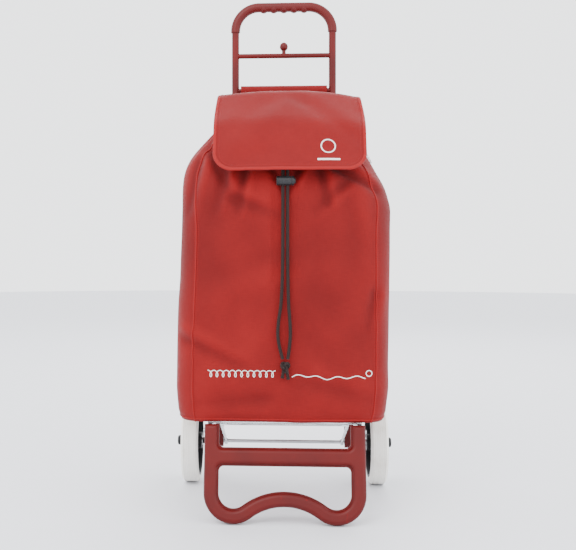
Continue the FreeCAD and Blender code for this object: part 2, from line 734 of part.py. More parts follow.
def foot_outline(inset):
    """The foot's flat outline and its lower window, as a face on the XZ plane.

    X runs across and Z up the leaning foot, from the lobes' centreline.  inset widens the bars
    inward only, for the thin moulded lip round the windows."""
    half, bar = size("foot_width") / 2, size("foot_bar")
    mid = half - bar / 2
    corner, crest = size("foot_corner"), size("foot_crest")
    lobe_x = mid - corner
    sway = (lobe_x ** 2 + (corner - crest) ** 2 - corner ** 2) / (2 * crest)
    lobe = Vector(-lobe_x, 0, corner)
    hill = Vector(0, 0, crest - sway)
    across = (hill - lobe).normalize()
    top, rail = size("foot_top"), size("crossbar_height")
    rail_half = size("crossbar_depth") / 2 + inset
    round_in = size("window_corner")

    def mirrored(point):
        return Vector(-point.x, 0, point.z)

    def wave(outset):
        """The wavy lower edge from the left lobe's side to the right one's, by an offset."""
        big, small = corner + outset, sway - outset
        start = lobe + Vector(-big, 0, 0)
        low = lobe + Vector(0, 0, -1) * big
        meet = lobe + across * big
        high = hill + Vector(0, 0, small)
        return [
            Part.Arc(start, lobe + Vector(-1, 0, -1).normalize() * big, low).toShape(),
            Part.Arc(low, lobe + (across + Vector(0, 0, -1)).normalize() * big, meet).toShape(),
            Part.Arc(meet, high, mirrored(meet)).toShape(),
            Part.Arc(mirrored(meet), mirrored(lobe + (across + Vector(0, 0, -1)).normalize() * big),
                     mirrored(low)).toShape(),
            Part.Arc(mirrored(low), mirrored(lobe + Vector(-1, 0, -1).normalize() * big),
                     mirrored(start)).toShape(),
        ]

    outer_x = half
    inner_x = half - bar - inset
    low_outer = Vector(-outer_x, 0, corner)
    rail_top = rail + rail_half
    rail_low = rail - rail_half
    diagonal = round_in * (1 - math.sqrt(0.5))
    outer = wave(bar / 2)
    outer.append(Part.LineSegment(mirrored(low_outer), Vector(outer_x, 0, top)).toShape())
    outer.append(Part.LineSegment(Vector(outer_x, 0, top), Vector(inner_x, 0, top)).toShape())
    right_in = Vector(inner_x, 0, rail_top + round_in)
    right_out = Vector(inner_x - round_in, 0, rail_top)
    outer.append(Part.LineSegment(Vector(inner_x, 0, top), right_in).toShape())
    outer.append(Part.Arc(right_in, Vector(inner_x - diagonal, 0, rail_top + diagonal),
                          right_out).toShape())
    outer.append(Part.LineSegment(right_out, mirrored(right_out)).toShape())
    outer.append(Part.Arc(mirrored(right_out), Vector(-inner_x + diagonal, 0, rail_top + diagonal),
                          mirrored(right_in)).toShape())
    outer.append(Part.LineSegment(mirrored(right_in), Vector(-inner_x, 0, top)).toShape())
    outer.append(Part.LineSegment(Vector(-inner_x, 0, top), Vector(-outer_x, 0, top)).toShape())
    outer.append(Part.LineSegment(Vector(-outer_x, 0, top), low_outer).toShape())

    window = wave(-bar / 2 - inset)
    side_low = Vector(-inner_x, 0, corner)
    up_in = Vector(-inner_x, 0, rail_low - round_in)
    up_out = Vector(-inner_x + round_in, 0, rail_low)
    window.append(Part.LineSegment(mirrored(side_low), mirrored(up_in)).toShape())
    window.append(Part.Arc(mirrored(up_in), Vector(inner_x - diagonal, 0, rail_low - diagonal),
                           mirrored(up_out)).toShape())
    window.append(Part.LineSegment(mirrored(up_out), up_out).toShape())
    window.append(Part.Arc(up_out, Vector(-inner_x + diagonal, 0, rail_low - diagonal),
                           up_in).toShape())
    window.append(Part.LineSegment(up_in, side_low).toShape())
    outer_face = Part.Face(Part.Wire(Part.sortEdges(outer)[0]))
    window_face = Part.Face(Part.Wire(Part.sortEdges(window)[0]))
    return outer_face.cut(window_face)


def make_foot():
    """The moulded foot: rounded loop with a crossbar, a thin lip round its windows, slots for
    the arms behind its prongs, and a flat land under each lobe."""
    thick, lip = size("foot_thickness"), size("lip_thickness")
    plate = foot_outline(0).extrude(Y_AXIS * thick)
    plate.translate(Y_AXIS * (-thick / 2))
    edges = [edge for edge in plate.Edges
             if all(abs(abs(vertex.Y) - thick / 2) < 1e-6 for vertex in edge.Vertexes)
             and abs(edge.BoundBox.YLength) < 1e-6]
    plate = plate.makeFillet(size("foot_round"), edges)
    rim = foot_outline(size("lip_width")).extrude(Y_AXIS * lip)
    rim.translate(Y_AXIS * (-lip / 2))
    moulding = solid("Foot_moulding", plate.fuse(rim))
    moulding.Placement = FreeCAD.Placement(
        forward(size("foot_centre"), 0, size("foot_drop")),
        FreeCAD.Rotation(X_AXIS, -size("foot_lean")))
    floor = block("Foot_floor", "Sizes.foot_width + 20", "3 * Sizes.foot_thickness", "30",
                  place_x="-Sizes.foot_width / 2 - 10",
                  place_y="Sizes.axle_y - Sizes.foot_centre - 1.5 * Sizes.foot_thickness",
                  place_z="-30")
    cuts = [floor]
    for side, sign in SIDES:
        cuts.append(block(f"Foot_slot_{side}", "Sizes.arm_thickness + 2 * Sizes.run_clearance",
                          "2 * Sizes.foot_thickness", "Sizes.arm_depth + 2 * Sizes.run_clearance",
                          place_x=f"{sign} * Sizes.frame_x - Sizes.arm_thickness / 2"
                                  " - Sizes.run_clearance",
                          place_y="Sizes.axle_y - Sizes.arm_front - Sizes.run_clearance",
                          place_z="Sizes.arm_low - Sizes.run_clearance"))
        cuts.append(screw_hole(f"Foot_screw_hole_{side}", sign))
    keep(cut("Foot", moulding, *cuts), "foot_loop")


def screw_hole(name, sign):
    """The hole across a prong and its arm for the screw that holds them together."""
    return cylinder(name, "Sizes.screw_diameter / 2 + Sizes.run_clearance",
                    "Sizes.foot_bar + 10", X_AXIS,
                    place_x=f"{sign} * (Sizes.foot_width - Sizes.foot_bar) / 2"
                            " - Sizes.foot_bar / 2 - 5",
                    place_y="Sizes.axle_y - Sizes.arm_front + Sizes.screw_inset",
                    place_z="Sizes.pivot_height")


def make_foot_screws():
    """The two screws through the foot's prongs and the arms, heads outward."""
    screws = []
    for side, sign in SIDES:
        inner = "(Sizes.foot_width / 2 - Sizes.foot_bar + 1)"
        length = "(Sizes.foot_bar - 1)"
        shank = cylinder(f"Foot_screw_shank_{side}", "Sizes.screw_diameter / 2", length, X_AXIS,
                         place_x=outward(sign, inner, length),
                         place_y="Sizes.axle_y - Sizes.arm_front + Sizes.screw_inset",
                         place_z="Sizes.pivot_height")
        head = cylinder(f"Foot_screw_head_{side}", "Sizes.screw_head / 2", "2.4", X_AXIS,
                        place_x=outward(sign, "(Sizes.foot_width / 2)", "2.4"),
                        place_y="Sizes.axle_y - Sizes.arm_front + Sizes.screw_inset",
                        place_z="Sizes.pivot_height")
        screws.append(join(f"Foot_screw_{side}", shank, head))
    keep(group("FootScrews", *screws), "foot_screws")


def make_arm(side, sign):
    """One flat arm of the folding base, from its hinge eye forward into the foot."""
    x = f"{sign} * Sizes.frame_x - Sizes.arm_thickness / 2"
    bar = block(f"Arm_bar_{side}", "Sizes.arm_thickness", "Sizes.arm_front - Sizes.pivot_reach",
                "Sizes.arm_depth", place_x=x, place_y="Sizes.axle_y - Sizes.arm_front",
                place_z="Sizes.arm_low")
    eye = cylinder(f"Arm_eye_{side}", "Sizes.arm_depth / 2", "Sizes.arm_thickness", X_AXIS,
                   place_x=x, place_y="Sizes.axle_y - Sizes.pivot_reach",
                   place_z="Sizes.pivot_height")
    hole = cylinder(f"Arm_hole_{side}", "Sizes.pivot_pin_diameter / 2 + Sizes.run_clearance",
                    "Sizes.arm_thickness", X_AXIS, place_x=x,
                    place_y="Sizes.axle_y - Sizes.pivot_reach", place_z="Sizes.pivot_height")
    arm = join(f"Arm_solid_{side}", bar, eye)
    keep(cut(f"Arm_{side}", arm, hole, screw_hole(f"Arm_screw_hole_{side}", sign)),
         f"base_arm_{side}")


def make_platform_rods():
    """The two cross rods that lie on the arms and carry the bag."""
    rods = []
    for name, reach in (("rear", "platform_rod_reach"), ("front", "front_rod_reach")):
        rods.append(cylinder(f"Platform_rod_{name}", "Sizes.platform_rod_diameter / 2",
                             "Sizes.frame_track + Sizes.arm_thickness", X_AXIS,
                             place_x="-(Sizes.frame_track + Sizes.arm_thickness) / 2",
                             place_y=f"Sizes.axle_y - Sizes.{reach}", place_z="Sizes.rod_z"))
    keep(group("PlatformRods", *rods), "platform_rods")


def make_bail_pads():
    """The two pads that hang from the rear platform rod and bear on the bail."""
    pads = []
    low = "(Sizes.bail_height + Sizes.bail_diameter / 2 + Sizes.clearance)"
    for side, sign in SIDES:
        pad = block(f"Pad_block_{side}", "Sizes.pad_width", "Sizes.pad_width",
                    f"Sizes.rod_z + Sizes.platform_rod_diameter / 2 - 0.5 - {low}",
                    place_x=f"{sign} * Sizes.frame_x / 2 - Sizes.pad_width / 2",
                    place_y="Sizes.axle_y - Sizes.platform_rod_reach - Sizes.pad_width / 2",
                    place_z=low)
        hole = cylinder(f"Pad_hole_{side}",
                        "Sizes.platform_rod_diameter / 2 + Sizes.run_clearance",
                        "Sizes.pad_width", X_AXIS,
                        place_x=f"{sign} * Sizes.frame_x / 2 - Sizes.pad_width / 2",
                        place_y="Sizes.axle_y - Sizes.platform_rod_reach",
                        place_z="Sizes.rod_z")
        pads.append(cut(f"Pad_{side}", pad, hole))
    keep(group("BailPads", *pads), "bail_pads")


def make_base_board():
    """The stiffening board that lies in the bag's bottom and lifts with the base."""
    board = block("Base_board", "Sizes.board_width",
                  "Sizes.front_rod_reach - Sizes.board_rear", "Sizes.board_thickness",
                  place_x="-Sizes.board_width / 2",
                  place_y="Sizes.axle_y - Sizes.front_rod_reach",
                  place_z="Sizes.bag_bottom + Sizes.bag_wall + Sizes.clearance")
    keep(board, "base_board")


def make_support_bail():
    """The plated wire bail: an eye round the axle each side, two legs and the crossbar."""
    x = size("bail_width") / 2 - size("bail_diameter") / 2
    reach, low, high = size("bail_reach"), size("axle_z"), size("bail_height")
    along = Vector(0, -reach, high - low).normalize()
    start = size("axle_diameter") / 2 + size("run_clearance") + 2.2
    left = forward(0, -x, low) + along * start
    right = forward(0, x, low) + along * start
    points = [left, forward(reach, -x, high), forward(reach, x, high), right]
    wire = sweep(route(points, [size("bail_bend")] * 2), size("bail_diameter") / 2)
    bore = size("axle_diameter") / 2 + size("run_clearance")
    shape = wire
    for side, sign in SIDES:
        eye = Part.makeCylinder(bore + 3.4, size("bail_diameter"),
                                forward(0, sign * x - size("bail_diameter") / 2, low), X_AXIS)
        shape = shape.fuse(eye)
    hole = Part.makeCylinder(bore, 2 * x + 40, forward(0, -x - 20, low), X_AXIS)
    keep(solid("SupportBail", shape.cut(hole)), "support_bail")


# ---------------------------------------------------------------- bag


def bag_sections(inset):
    """The bag's sections from bottom to mouth: height, width, depth, back reach, corner."""
    width, depth, corner = size("bag_width"), size("bag_depth"), size("bag_corner")
    back = size("bag_back_reach")
    neck_w, neck_d = size("neck_width"), size("neck_depth")
    shoulder, neck = size("bag_shoulder"), size("bag_neck_height")
    floor, swell, draw = size("bag_bottom"), size("bag_swell"), size("bag_draw")
    full_w, full_d = size("shoulder_width_share"), size("shoulder_depth_share")
    mid = shoulder + size("shoulder_height_share") * (neck - shoulder)
    neck_back = back + size("neck_set_back")
    rows = [
        (floor, width - draw, depth - draw / 2, back, corner - draw / 2),
        (floor + swell, width, depth, back, corner),
        (shoulder, width, depth, back, corner),
        (mid, neck_w + full_w * (width - neck_w), neck_d + full_d * (depth - neck_d),
         back + size("shoulder_set_back"), corner),
        (neck, neck_w, neck_d, neck_back, size("neck_corner")),
        (size("bag_mouth_height"), neck_w, neck_d, neck_back, size("neck_corner")),
    ]
    return [(z, w - 2 * inset, d - 2 * inset, b + inset, c - inset) for z, w, d, b, c in rows]


def rounded_rectangle(z, width, depth, back, corner):
    """A rounded rectangle lying at height z, its rear edge a given reach from the axle."""
    half = width / 2
    rear, front = AXLE_Y - back, AXLE_Y - back - depth
    edges = []
    corners = ((half, rear, -1, -1, 0), (-half, rear, 1, -1, 90),
               (-half, front, 1, 1, 180), (half, front, -1, 1, 270))
    arcs = []
    for x, y, toward_x, toward_y, angle in corners:
        centre = Vector(x + toward_x * corner, y + toward_y * corner, z)
        arcs.append(Part.makeCircle(corner, centre, Z_AXIS, angle, angle + 90))
    for index, arc in enumerate(arcs):
        following = arcs[(index + 1) % 4]
        edges.append(arc)
        edges.append(Part.makeLine(arc.valueAt(arc.LastParameter),
                                   following.valueAt(following.FirstParameter)))
    return Part.Wire(edges)


def bag_loft(inset, floor=None):
    """The bag's form, as a closed solid, drawn in by inset all round."""
    rows = bag_sections(inset)
    if floor is not None:
        z, width, depth, back, corner = rows[0]
        rows[0] = (floor, width, depth, back, corner)
        top = rows[-1]
        rows.append((top[0] + 10, *top[1:]))
    return Part.makeLoft([rounded_rectangle(*row) for row in rows], True, True)


def bag_wedge(corner_a, corner_b, low, high):
    """A three-sided prism from the bag's middle out past two of its corners."""
    middle = forward(size("bag_back_reach") + size("bag_depth") / 2, 0, low)
    points = [middle]
    for across, along in (corner_a, corner_b):
        points.append(middle + Vector(across * size("bag_width"), along * size("bag_depth"), 0))
    points.append(middle)
    return Part.Face(Part.makePolygon(points)).extrude(Z_AXIS * (high - low))


def make_bag():
    """The fabric bag: base, four body panels, four shoulder panels and the neck's collar."""
    floor, wall = size("bag_bottom"), size("bag_wall")
    shoulder, neck = size("bag_shoulder"), size("bag_neck_height")
    shell = bag_loft(0).cut(bag_loft(wall, floor + wall))
    wide = 4 * size("bag_width")
    low_slab = Part.makeBox(wide, wide, wall, Vector(-wide / 2, -wide / 2, floor))
    keep(solid("BagBase", shell.common(low_slab)), "bag_base")
    hole = Part.makeCylinder(size("eyelet_diameter") / 2, 60, eyelet_place(-30), eyelet_normal())
    panels = (("rear", (1, 1), (-1, 1)), ("side_left", (-1, 1), (-1, -1)),
              ("front", (-1, -1), (1, -1)), ("side_right", (1, -1), (1, 1)))
    for place, corner_a, corner_b in panels:
        lower = bag_wedge(corner_a, corner_b, floor + wall, shoulder)
        keep(solid(f"Panel_{place}", shell.common(lower)), f"bag_{place}")
        upper = bag_wedge(corner_a, corner_b, shoulder, neck)
        panel = shell.common(upper).cut(hole)
        keep(solid(f"Shoulder_{place}", panel), f"bag_shoulder_{place}")
    top = Part.makeBox(wide, wide, size("bag_mouth_height"), Vector(-wide / 2, -wide / 2, neck))
    keep(solid("BagNeck", shell.common(top)), "bag_neck")


def eyelet_normal():
    """The outward direction of the neck's sloping front, where the eyelet sits."""
    rows = bag_sections(0)
    low, high = rows[3], rows[4]
    rise = high[0] - low[0]
    inward = (low[3] + low[2]) - (high[3] + high[2])
    return Vector(0, -rise, inward).normalize()


def eyelet_place(out):
    """The eyelet's centre on the neck's front, moved outward by a distance."""
    rows = bag_sections(0)
    low, high = rows[3], rows[4]
    share = size("eyelet_share")
    z = low[0] + share * (high[0] - low[0])
    reach = (low[3] + low[2]) + share * ((high[3] + high[2]) - (low[3] + low[2]))
    return forward(reach, size("cord_shift"), z) + eyelet_normal() * out


def make_eyelet():
    """The metal eyelet that the two cord ends leave by."""
    radius, wall = size("eyelet_diameter") / 2, size("bag_wall")
    normal = eyelet_normal()
    barrel = Part.makeCylinder(radius - 0.1, wall + 2.4, eyelet_place(-wall - 1.2), normal)
    flange = Part.makeCylinder(radius + 3, 1.0, eyelet_place(0.2), normal)
    bore = Part.makeCylinder(radius - 1.2, 60, eyelet_place(-30), normal)
    keep(solid("NeckEyelet", barrel.fuse(flange).cut(bore)), "neck_eyelet")


def make_neck_cord():
    """The drawstring's hidden loop, run round inside the neck."""
    inset = size("bag_wall") + size("cord_diameter") / 2 + size("clearance") + 1
    row = bag_sections(inset)[4]
    ring = rounded_rectangle(row[0] + 8, *row[1:])
    keep(solid("NeckCord", sweep(ring, size("cord_diameter") / 2)), "neck_cord")


def make_yoke():
    """The back panel's upper part: a tapering yoke with a hem round the hanger rod."""
    low, high = size("bag_shoulder") + size("clearance"), size("hanger_rod_height")
    half_low, half_high = size("bag_width") / 2 - 34, size("back_top_width") / 2
    points = [forward(size("yoke_reach"), x, z) for x, z in
              ((-half_low, low), (half_low, low), (half_high, high), (-half_high, high),
               (-half_low, low))]
    plate = Part.Face(Part.makePolygon(points)).extrude(-Y_AXIS * size("bag_wall"))
    outer = size("yoke_reach") + size("bag_wall") / 2
    width = size("back_top_width")
    start = forward(0, -width / 2, high)
    hem = Part.makeCylinder(outer, width, start, X_AXIS)
    hem = hem.fuse(plate)
    inner = size("cross_rod_diameter") / 2 + size("clearance")
    hem = hem.cut(Part.makeCylinder(max(inner, outer - size("hem_wall")), width, start, X_AXIS))
    for side, sign in SIDES:
        tube = Part.makeCylinder(size("tube_diameter") / 2 + size("clearance"), 400,
                                 forward(0, sign * size("handle_x"), high - 300), Z_AXIS)
        hem = hem.cut(tube)
    keep(solid("BagYoke", hem), "bag_yoke")


def make_care_label():
    """The small label sewn into the seam of the right shoulder; it stands out sideways."""
    low, high = bag_sections(0)[2:4]
    z = size("label_height")
    share = (z - low[0]) / (high[0] - low[0])
    edge = low[1] / 2 + share * (high[1] - low[1]) / 2
    corner = forward(size("label_reach"), edge + size("clearance"), z)
    plate = Part.makeBox(size("label_width"), size("label_thickness"), size("label_length"), corner)
    keep(solid("CareLabel", plate), "care_label")


# ---------------------------------------------------------------- flap


def flap_path():
    """The flap's middle line from its seam behind, over the mouth and down the front."""
    top, crest, low = size("hanger_rod_height") - size("flap_drop"), size("flap_crest"), size("flap_low")
    front = size("bag_front_reach")
    points = [
        forward(size("yoke_reach") + size("flap_seam_set"), 0, top),
        forward(front - size("flap_crest_set"), 0, crest),
        forward(front - size("flap_front_set"), 0, (crest + low) / 2 + size("flap_front_rise")),
        forward(front + size("flap_low_stand"), 0, low),
    ]
    return route(points, [size("flap_crest_bend"), size("flap_front_bend")])


def flap_sweep(thickness):
    """A strip of the given thickness, wider than the flap, along the flap's middle line."""
    wire = flap_path()
    start = wire.Edges[0].valueAt(wire.Edges[0].FirstParameter)
    direction = wire.Edges[0].tangentAt(wire.Edges[0].FirstParameter)
    across = X_AXIS * size("flap_low_width")
    upward = direction.cross(X_AXIS).normalize() * (thickness / 2)
    corners = [start - across - upward, start + across - upward,
               start + across + upward, start - across + upward]
    ring = Part.makePolygon(corners + corners[:1])
    return wire.makePipeShell([ring], True, True)


def flap_outline(grow):
    """The flap's outline seen from the front, as a prism, grown (or shrunk) all round."""
    low, corner = size("flap_low") - grow, size("flap_corner") + grow
    half_low, half_top = size("flap_low_width") / 2 + grow, size("flap_top_width") / 2 + grow
    high = size("hanger_rod_height") + 40
    shoulder = size("flap_crest") - 8
    middle = (size("flap_crest") + size("flap_low")) / 2
    right = [(half_top, high), (half_top, shoulder), (half_low, middle), (half_low, low)]
    left = [(-x, z) for x, z in reversed(right)]
    behind = size("foot_reach")
    points = [Vector(x, -behind, z) for x, z in [(0, high), *right, *left, (0, high)]]
    side, ease, seam = size("flap_side_bend"), size("flap_side_ease"), size("clearance")
    outline = route(points, [seam, ease, side, corner, corner, side, ease, seam])
    prism = Part.Face(outline).extrude(Y_AXIS * 2 * behind)
    prism.translate(X_AXIS * size("flap_shift"))
    return prism


def make_flap():
    """The flap, and the binding folded round its free edges."""
    thick, wall = size("flap_thickness"), size("binding_wall")
    flap = flap_sweep(thick).common(flap_outline(0))
    keep(solid("Flap", flap), "flap")
    frame = flap_outline(wall).cut(flap_outline(-size("binding_width")))
    binding = flap_sweep(thick + 2 * wall).common(frame).cut(flap)
    seam = forward(size("bag_back_reach") + 12, -size("bag_width"), size("flap_low"))
    behind = Part.makeBox(2 * size("bag_width"), 60, size("total_height"), seam)
    keep(solid("FlapBinding", binding.cut(behind)), "flap_binding")


# ---------------------------------------------------------------- drawstring


def cord_points(sign):
    """One strand's route: out of the eyelet, over the shoulder, through the lock, to the knot.

    Across (from the strands' middle), forward of the axle, and up; chosen by hand."""
    half = size("cord_spacing") / 2
    plane = size("cord_reach")
    hand = "left" if sign < 0 else "right"
    bulge, ease = size(f"cord_bulge_{hand}"), size(f"cord_ease_{hand}")
    table = (
        (half, plane - 84, 738),
        (half, plane - 62, 727),
        (half, plane - 34, 698),
        (half, plane - 10, 668),
        (half, plane, 638),
        (half, plane, 404),
        (bulge, plane - 1, 346),
        (ease, plane - 1.5, 314),
        (half + 0.2, plane - 1, 289),
    )
    shift = size("cord_shift")
    return [forward(reach, shift + sign * across, z) for across, reach, z in table]


def cord_bends(points):
    """The radius at each inner point: 0.45 of the shorter run over the half turn's tangent."""
    bends = []
    for before, corner, after in zip(points, points[1:], points[2:]):
        first, second = corner - before, after - corner
        turn = first.getAngle(second)
        bends.append(0.45 * min(first.Length, second.Length) / math.tan(turn / 2))
    return bends


def make_drawstring(side, sign):
    """One free strand of the drawstring, from the eyelet to the knot."""
    points = cord_points(sign)
    bends = cord_bends(points)
    wire = route(points, bends)
    strand = sweep(wire, size("cord_diameter") / 2)
    expected = math.pi * (size("cord_diameter") / 2) ** 2 * wire.Length
    print(f"drawstring_{side}: length {wire.Length:.1f} mm, radii "
          + ", ".join(f"{bend:.0f}" for bend in bends)
          + f", volume over section x length {strand.Volume / expected:.4f}")
    keep(solid(f"Drawstring_{side}", strand), f"drawstring_{side}")


def make_knot():
    """The knot that ties the two ends, a plain rounded body."""
    half, long = size("knot_width") / 2, size("knot_length") / 2
    top = cord_points(1)[-1].z
    middle = forward(size("cord_reach") - 1, size("cord_shift"), top - long)
    ball = Part.makeSphere(1, Vector())
    stretch = FreeCAD.Matrix()
    stretch.scale(half, 0.8 * half, long * 1.08)
    knot = ball.transformGeometry(stretch)
    knot.translate(middle)
    slab = Part.makeBox(100, 100, 100, middle + Vector(-50, -50, long - 100))
    keep(solid("Knot", knot.common(slab)), "drawstring_knot")


def lock_cylinder(radius, start, length):
    """A cylinder along the lock's own axis, from an X measured from its middle."""
    middle = forward(size("cord_reach"), size("cord_shift"), size("lock_height"))
    return Part.makeCylinder(radius, length, middle + X_AXIS * start, X_AXIS)


def lock_slots(sink):
    """The two upright ways for the strands through the lock, each widened inward by sink."""
    radius = size("cord_diameter") / 2 + size("clearance")
    low, tall = size("lock_height") - size("lock_diameter"), 2 * size("lock_diameter")
    slots = []
    for side, sign in SIDES:
        centre = forward(size("cord_reach"), size("cord_shift") + sign * size("cord_spacing") / 2, low)
        slot = Part.makeCylinder(radius, tall, centre, Z_AXIS)
        if sink:
            slot = slot.fuse(Part.makeCylinder(radius, tall, centre + X_AXIS * sink, Z_AXIS))
            corner = centre - Y_AXIS * radius
            slot = slot.fuse(Part.makeBox(sink, 2 * radius, tall, corner))
        slots.append(slot)
    return slots


def spring_coil(wire, rise, radius):
    """A coil spring along Z: quarter turns of wire, from the XY plane up by its rise."""
    coils = round(size("lock_coils"))
    quarters = 4 * coils

    def place(share):
        turn = 2 * math.pi * coils * share
        return Vector(radius * math.cos(turn), radius * math.sin(turn), rise * share)

    arcs = [Part.Arc(place(step / quarters), place((step + 0.5) / quarters),
                     place((step + 1) / quarters)).toShape() for step in range(quarters)]
    return sweep(Part.Wire(arcs), wire / 2)


def make_cord_lock():
    """The spring cord lock: barrel, push button with its plunger, and the spring."""
    half, radius = size("lock_length") / 2, size("lock_diameter") / 2
    plunger, travel = size("button_diameter") / 2, size("button_travel")
    wall, gap, wire = size("lock_wall"), size("clearance"), size("lock_wire")
    room = travel + (size("lock_coils") + 1) * wire + 2 * gap
    barrel = lock_cylinder(radius, -half, 2 * half)
    barrel = barrel.makeFillet(wall, [edge for edge in barrel.Edges if edge.Closed])
    bore = lock_cylinder(plunger + gap / 2, wall - half, 2 * half)
    for slot in lock_slots(0):
        barrel = barrel.cut(slot)
    keep(solid("CordLockBarrel", barrel.cut(bore)), "cord_lock_barrel")
    start = wall - half + room
    button = lock_cylinder(plunger, start, half + travel + gap - start)
    for slot in lock_slots(travel):
        button = button.cut(slot)
    keep(solid("CordLockButton", button), "cord_lock_button")
    spring = spring_coil(wire, room - wire - 2 * gap, plunger - wire)
    seat = size("cord_shift") - half + wall + gap + wire / 2
    spring.Placement = FreeCAD.Placement(forward(size("cord_reach"), seat, size("lock_height")),
                                         FreeCAD.Rotation(Z_AXIS, X_AXIS))
    keep(solid("CordLockSpring", spring), "cord_lock_spring")


def check_document():
    """Stops unless every object of the document is sound and every piece a valid solid."""
    for item in doc.Objects:
        if "Invalid" in item.State or "Error" in item.State:
            raise RuntimeError(f"{item.Name} did not rebuild: {item.State}")
    labels = [feature.Label for feature in nodes]
    if len(set(labels)) != len(labels):
        raise RuntimeError("two pieces share a name")
    for feature in nodes:
        shape = feature.Shape
        if shape.isNull() or not shape.isValid() or not shape.Solids:
            raise RuntimeError(f"{feature.Label} is not a valid solid")


def main():
    """Builds every piece, checks the document and writes one STEP file a piece."""
    make_handle_loop()
    make_handle_grip()
    make_cross_rod("cross_rod", "cross_rod_height")
    make_cross_rod("hanger_rod", "hanger_rod_height")
    make_cross_rod("rear_brace", "brace_height")
    make_hook_peg()
    for side, sign in SIDES:
        make_lower_tube(side, sign)
        make_joint(side, sign)
        make_axle_bracket(side, sign)
        make_axle_spacer(side, sign)
        make_axle_cap(side, sign)
        make_tyre(side, sign)
        make_rim(side, sign)
        make_bush(side, sign)
        make_arm(side, sign)
        make_drawstring(side, sign)
    make_joint_rivets()
    make_pivot_pins()
    make_axle()
    make_washers()
    make_foot()
    make_foot_screws()
    make_platform_rods()
    make_bail_pads()
    make_base_board()
    make_support_bail()
    make_bag()
    make_yoke()
    make_eyelet()
    make_neck_cord()
    make_care_label()
    make_flap()
    make_knot()
    make_cord_lock()
    doc.recompute()
    check_document()
    os.makedirs("parts", exist_ok=True)
    for feature in nodes:
        feature.Shape.exportStep(f"parts/{feature.Label}.step")
    print(len(nodes), "pieces written")


if __name__ == "__main__":
    main()
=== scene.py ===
"""Looks of the two-wheeled shopping trolley: sagging fabric bag, flap, drawstring and finishes.

Everything is in metres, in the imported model's own frame: the front faces -Y, +X is to the
right as seen from the front, +Z is up.  A "reach" is a distance forward of the axle.
"""

from __future__ import annotations

import json
import logging
import math
from contextlib import contextmanager
from dataclasses import dataclass, field
from enum import Enum
from typing import Any, Callable, Iterator, Sequence

import bmesh
import bpy
import numpy as np
from mathutils import Matrix, Vector, noise

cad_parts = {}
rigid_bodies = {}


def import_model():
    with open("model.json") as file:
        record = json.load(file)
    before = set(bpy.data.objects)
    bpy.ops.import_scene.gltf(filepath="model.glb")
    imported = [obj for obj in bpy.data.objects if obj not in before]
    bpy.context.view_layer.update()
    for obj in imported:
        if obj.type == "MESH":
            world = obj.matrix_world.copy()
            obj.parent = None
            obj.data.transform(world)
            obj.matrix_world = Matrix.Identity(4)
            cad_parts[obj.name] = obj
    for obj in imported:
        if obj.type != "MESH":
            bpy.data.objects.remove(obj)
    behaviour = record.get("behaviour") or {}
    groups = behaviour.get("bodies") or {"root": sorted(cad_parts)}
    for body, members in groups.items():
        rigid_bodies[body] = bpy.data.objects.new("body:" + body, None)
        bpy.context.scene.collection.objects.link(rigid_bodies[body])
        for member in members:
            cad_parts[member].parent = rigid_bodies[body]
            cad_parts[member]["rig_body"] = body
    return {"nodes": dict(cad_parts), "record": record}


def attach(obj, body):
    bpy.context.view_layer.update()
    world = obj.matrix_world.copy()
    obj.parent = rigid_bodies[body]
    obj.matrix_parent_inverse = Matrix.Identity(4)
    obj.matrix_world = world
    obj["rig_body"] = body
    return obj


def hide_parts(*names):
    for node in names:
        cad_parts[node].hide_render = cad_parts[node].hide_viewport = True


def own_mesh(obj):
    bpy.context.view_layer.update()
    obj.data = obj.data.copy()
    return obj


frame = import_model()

LOG = logging.getLogger("shopping_trolley")
AXLE_Y = 0.114
CORD_REACH = 0.2835
CORD_HALF = 0.0042
CORD_SHIFT = 0.001
CLOTH_MAP = "cloth"
Colour = tuple[float, float, float, float]
Table = tuple[tuple[float, float], ...]


def linear(red: int, green: int, blue: int) -> Colour:
    """A colour given in screen steps of 0 to 255, as light.

    Args:
        red: the red step.
        green: the green step.
        blue: the blue step.

    Returns:
        The colour's red, green and blue light, and a full alpha.
    """
    steps = [step / 255 for step in (red, green, blue)]
    light = [s / 12.92 if s <= 0.04045 else ((s + 0.055) / 1.055) ** 2.4 for s in steps]
    return (light[0], light[1], light[2], 1.0)


class Tone(Enum):
    """The trolley's colours."""

    CLOTH = linear(126, 5, 5)
    CLOTH_DEEP = linear(88, 2, 3)
    BINDING = linear(132, 8, 8)
    ENAMEL = linear(92, 8, 6)
    ENAMEL_WORN = linear(74, 6, 5)
    MOULDED = linear(84, 6, 4)
    GRIP = linear(86, 9, 7)
    ZINC = linear(196, 198, 200)
    BRIGHT = linear(222, 226, 228)
    CREAM = linear(240, 238, 232)
    CREAM_SOILED = linear(206, 200, 188)
    BLACK = linear(22, 22, 24)
    BLACK_WORN = linear(46, 46, 48)
    CORD = linear(16, 9, 8)
    CORD_HIGHLIGHT_AND_FLECK = linear(46, 26, 22)
    THREAD = linear(240, 236, 232)
    LABEL = linear(236, 236, 238)
    BOARD = linear(58, 56, 54)
    FLOOR = linear(222, 223, 228)


# ---------------------------------------------------------------- shader maths


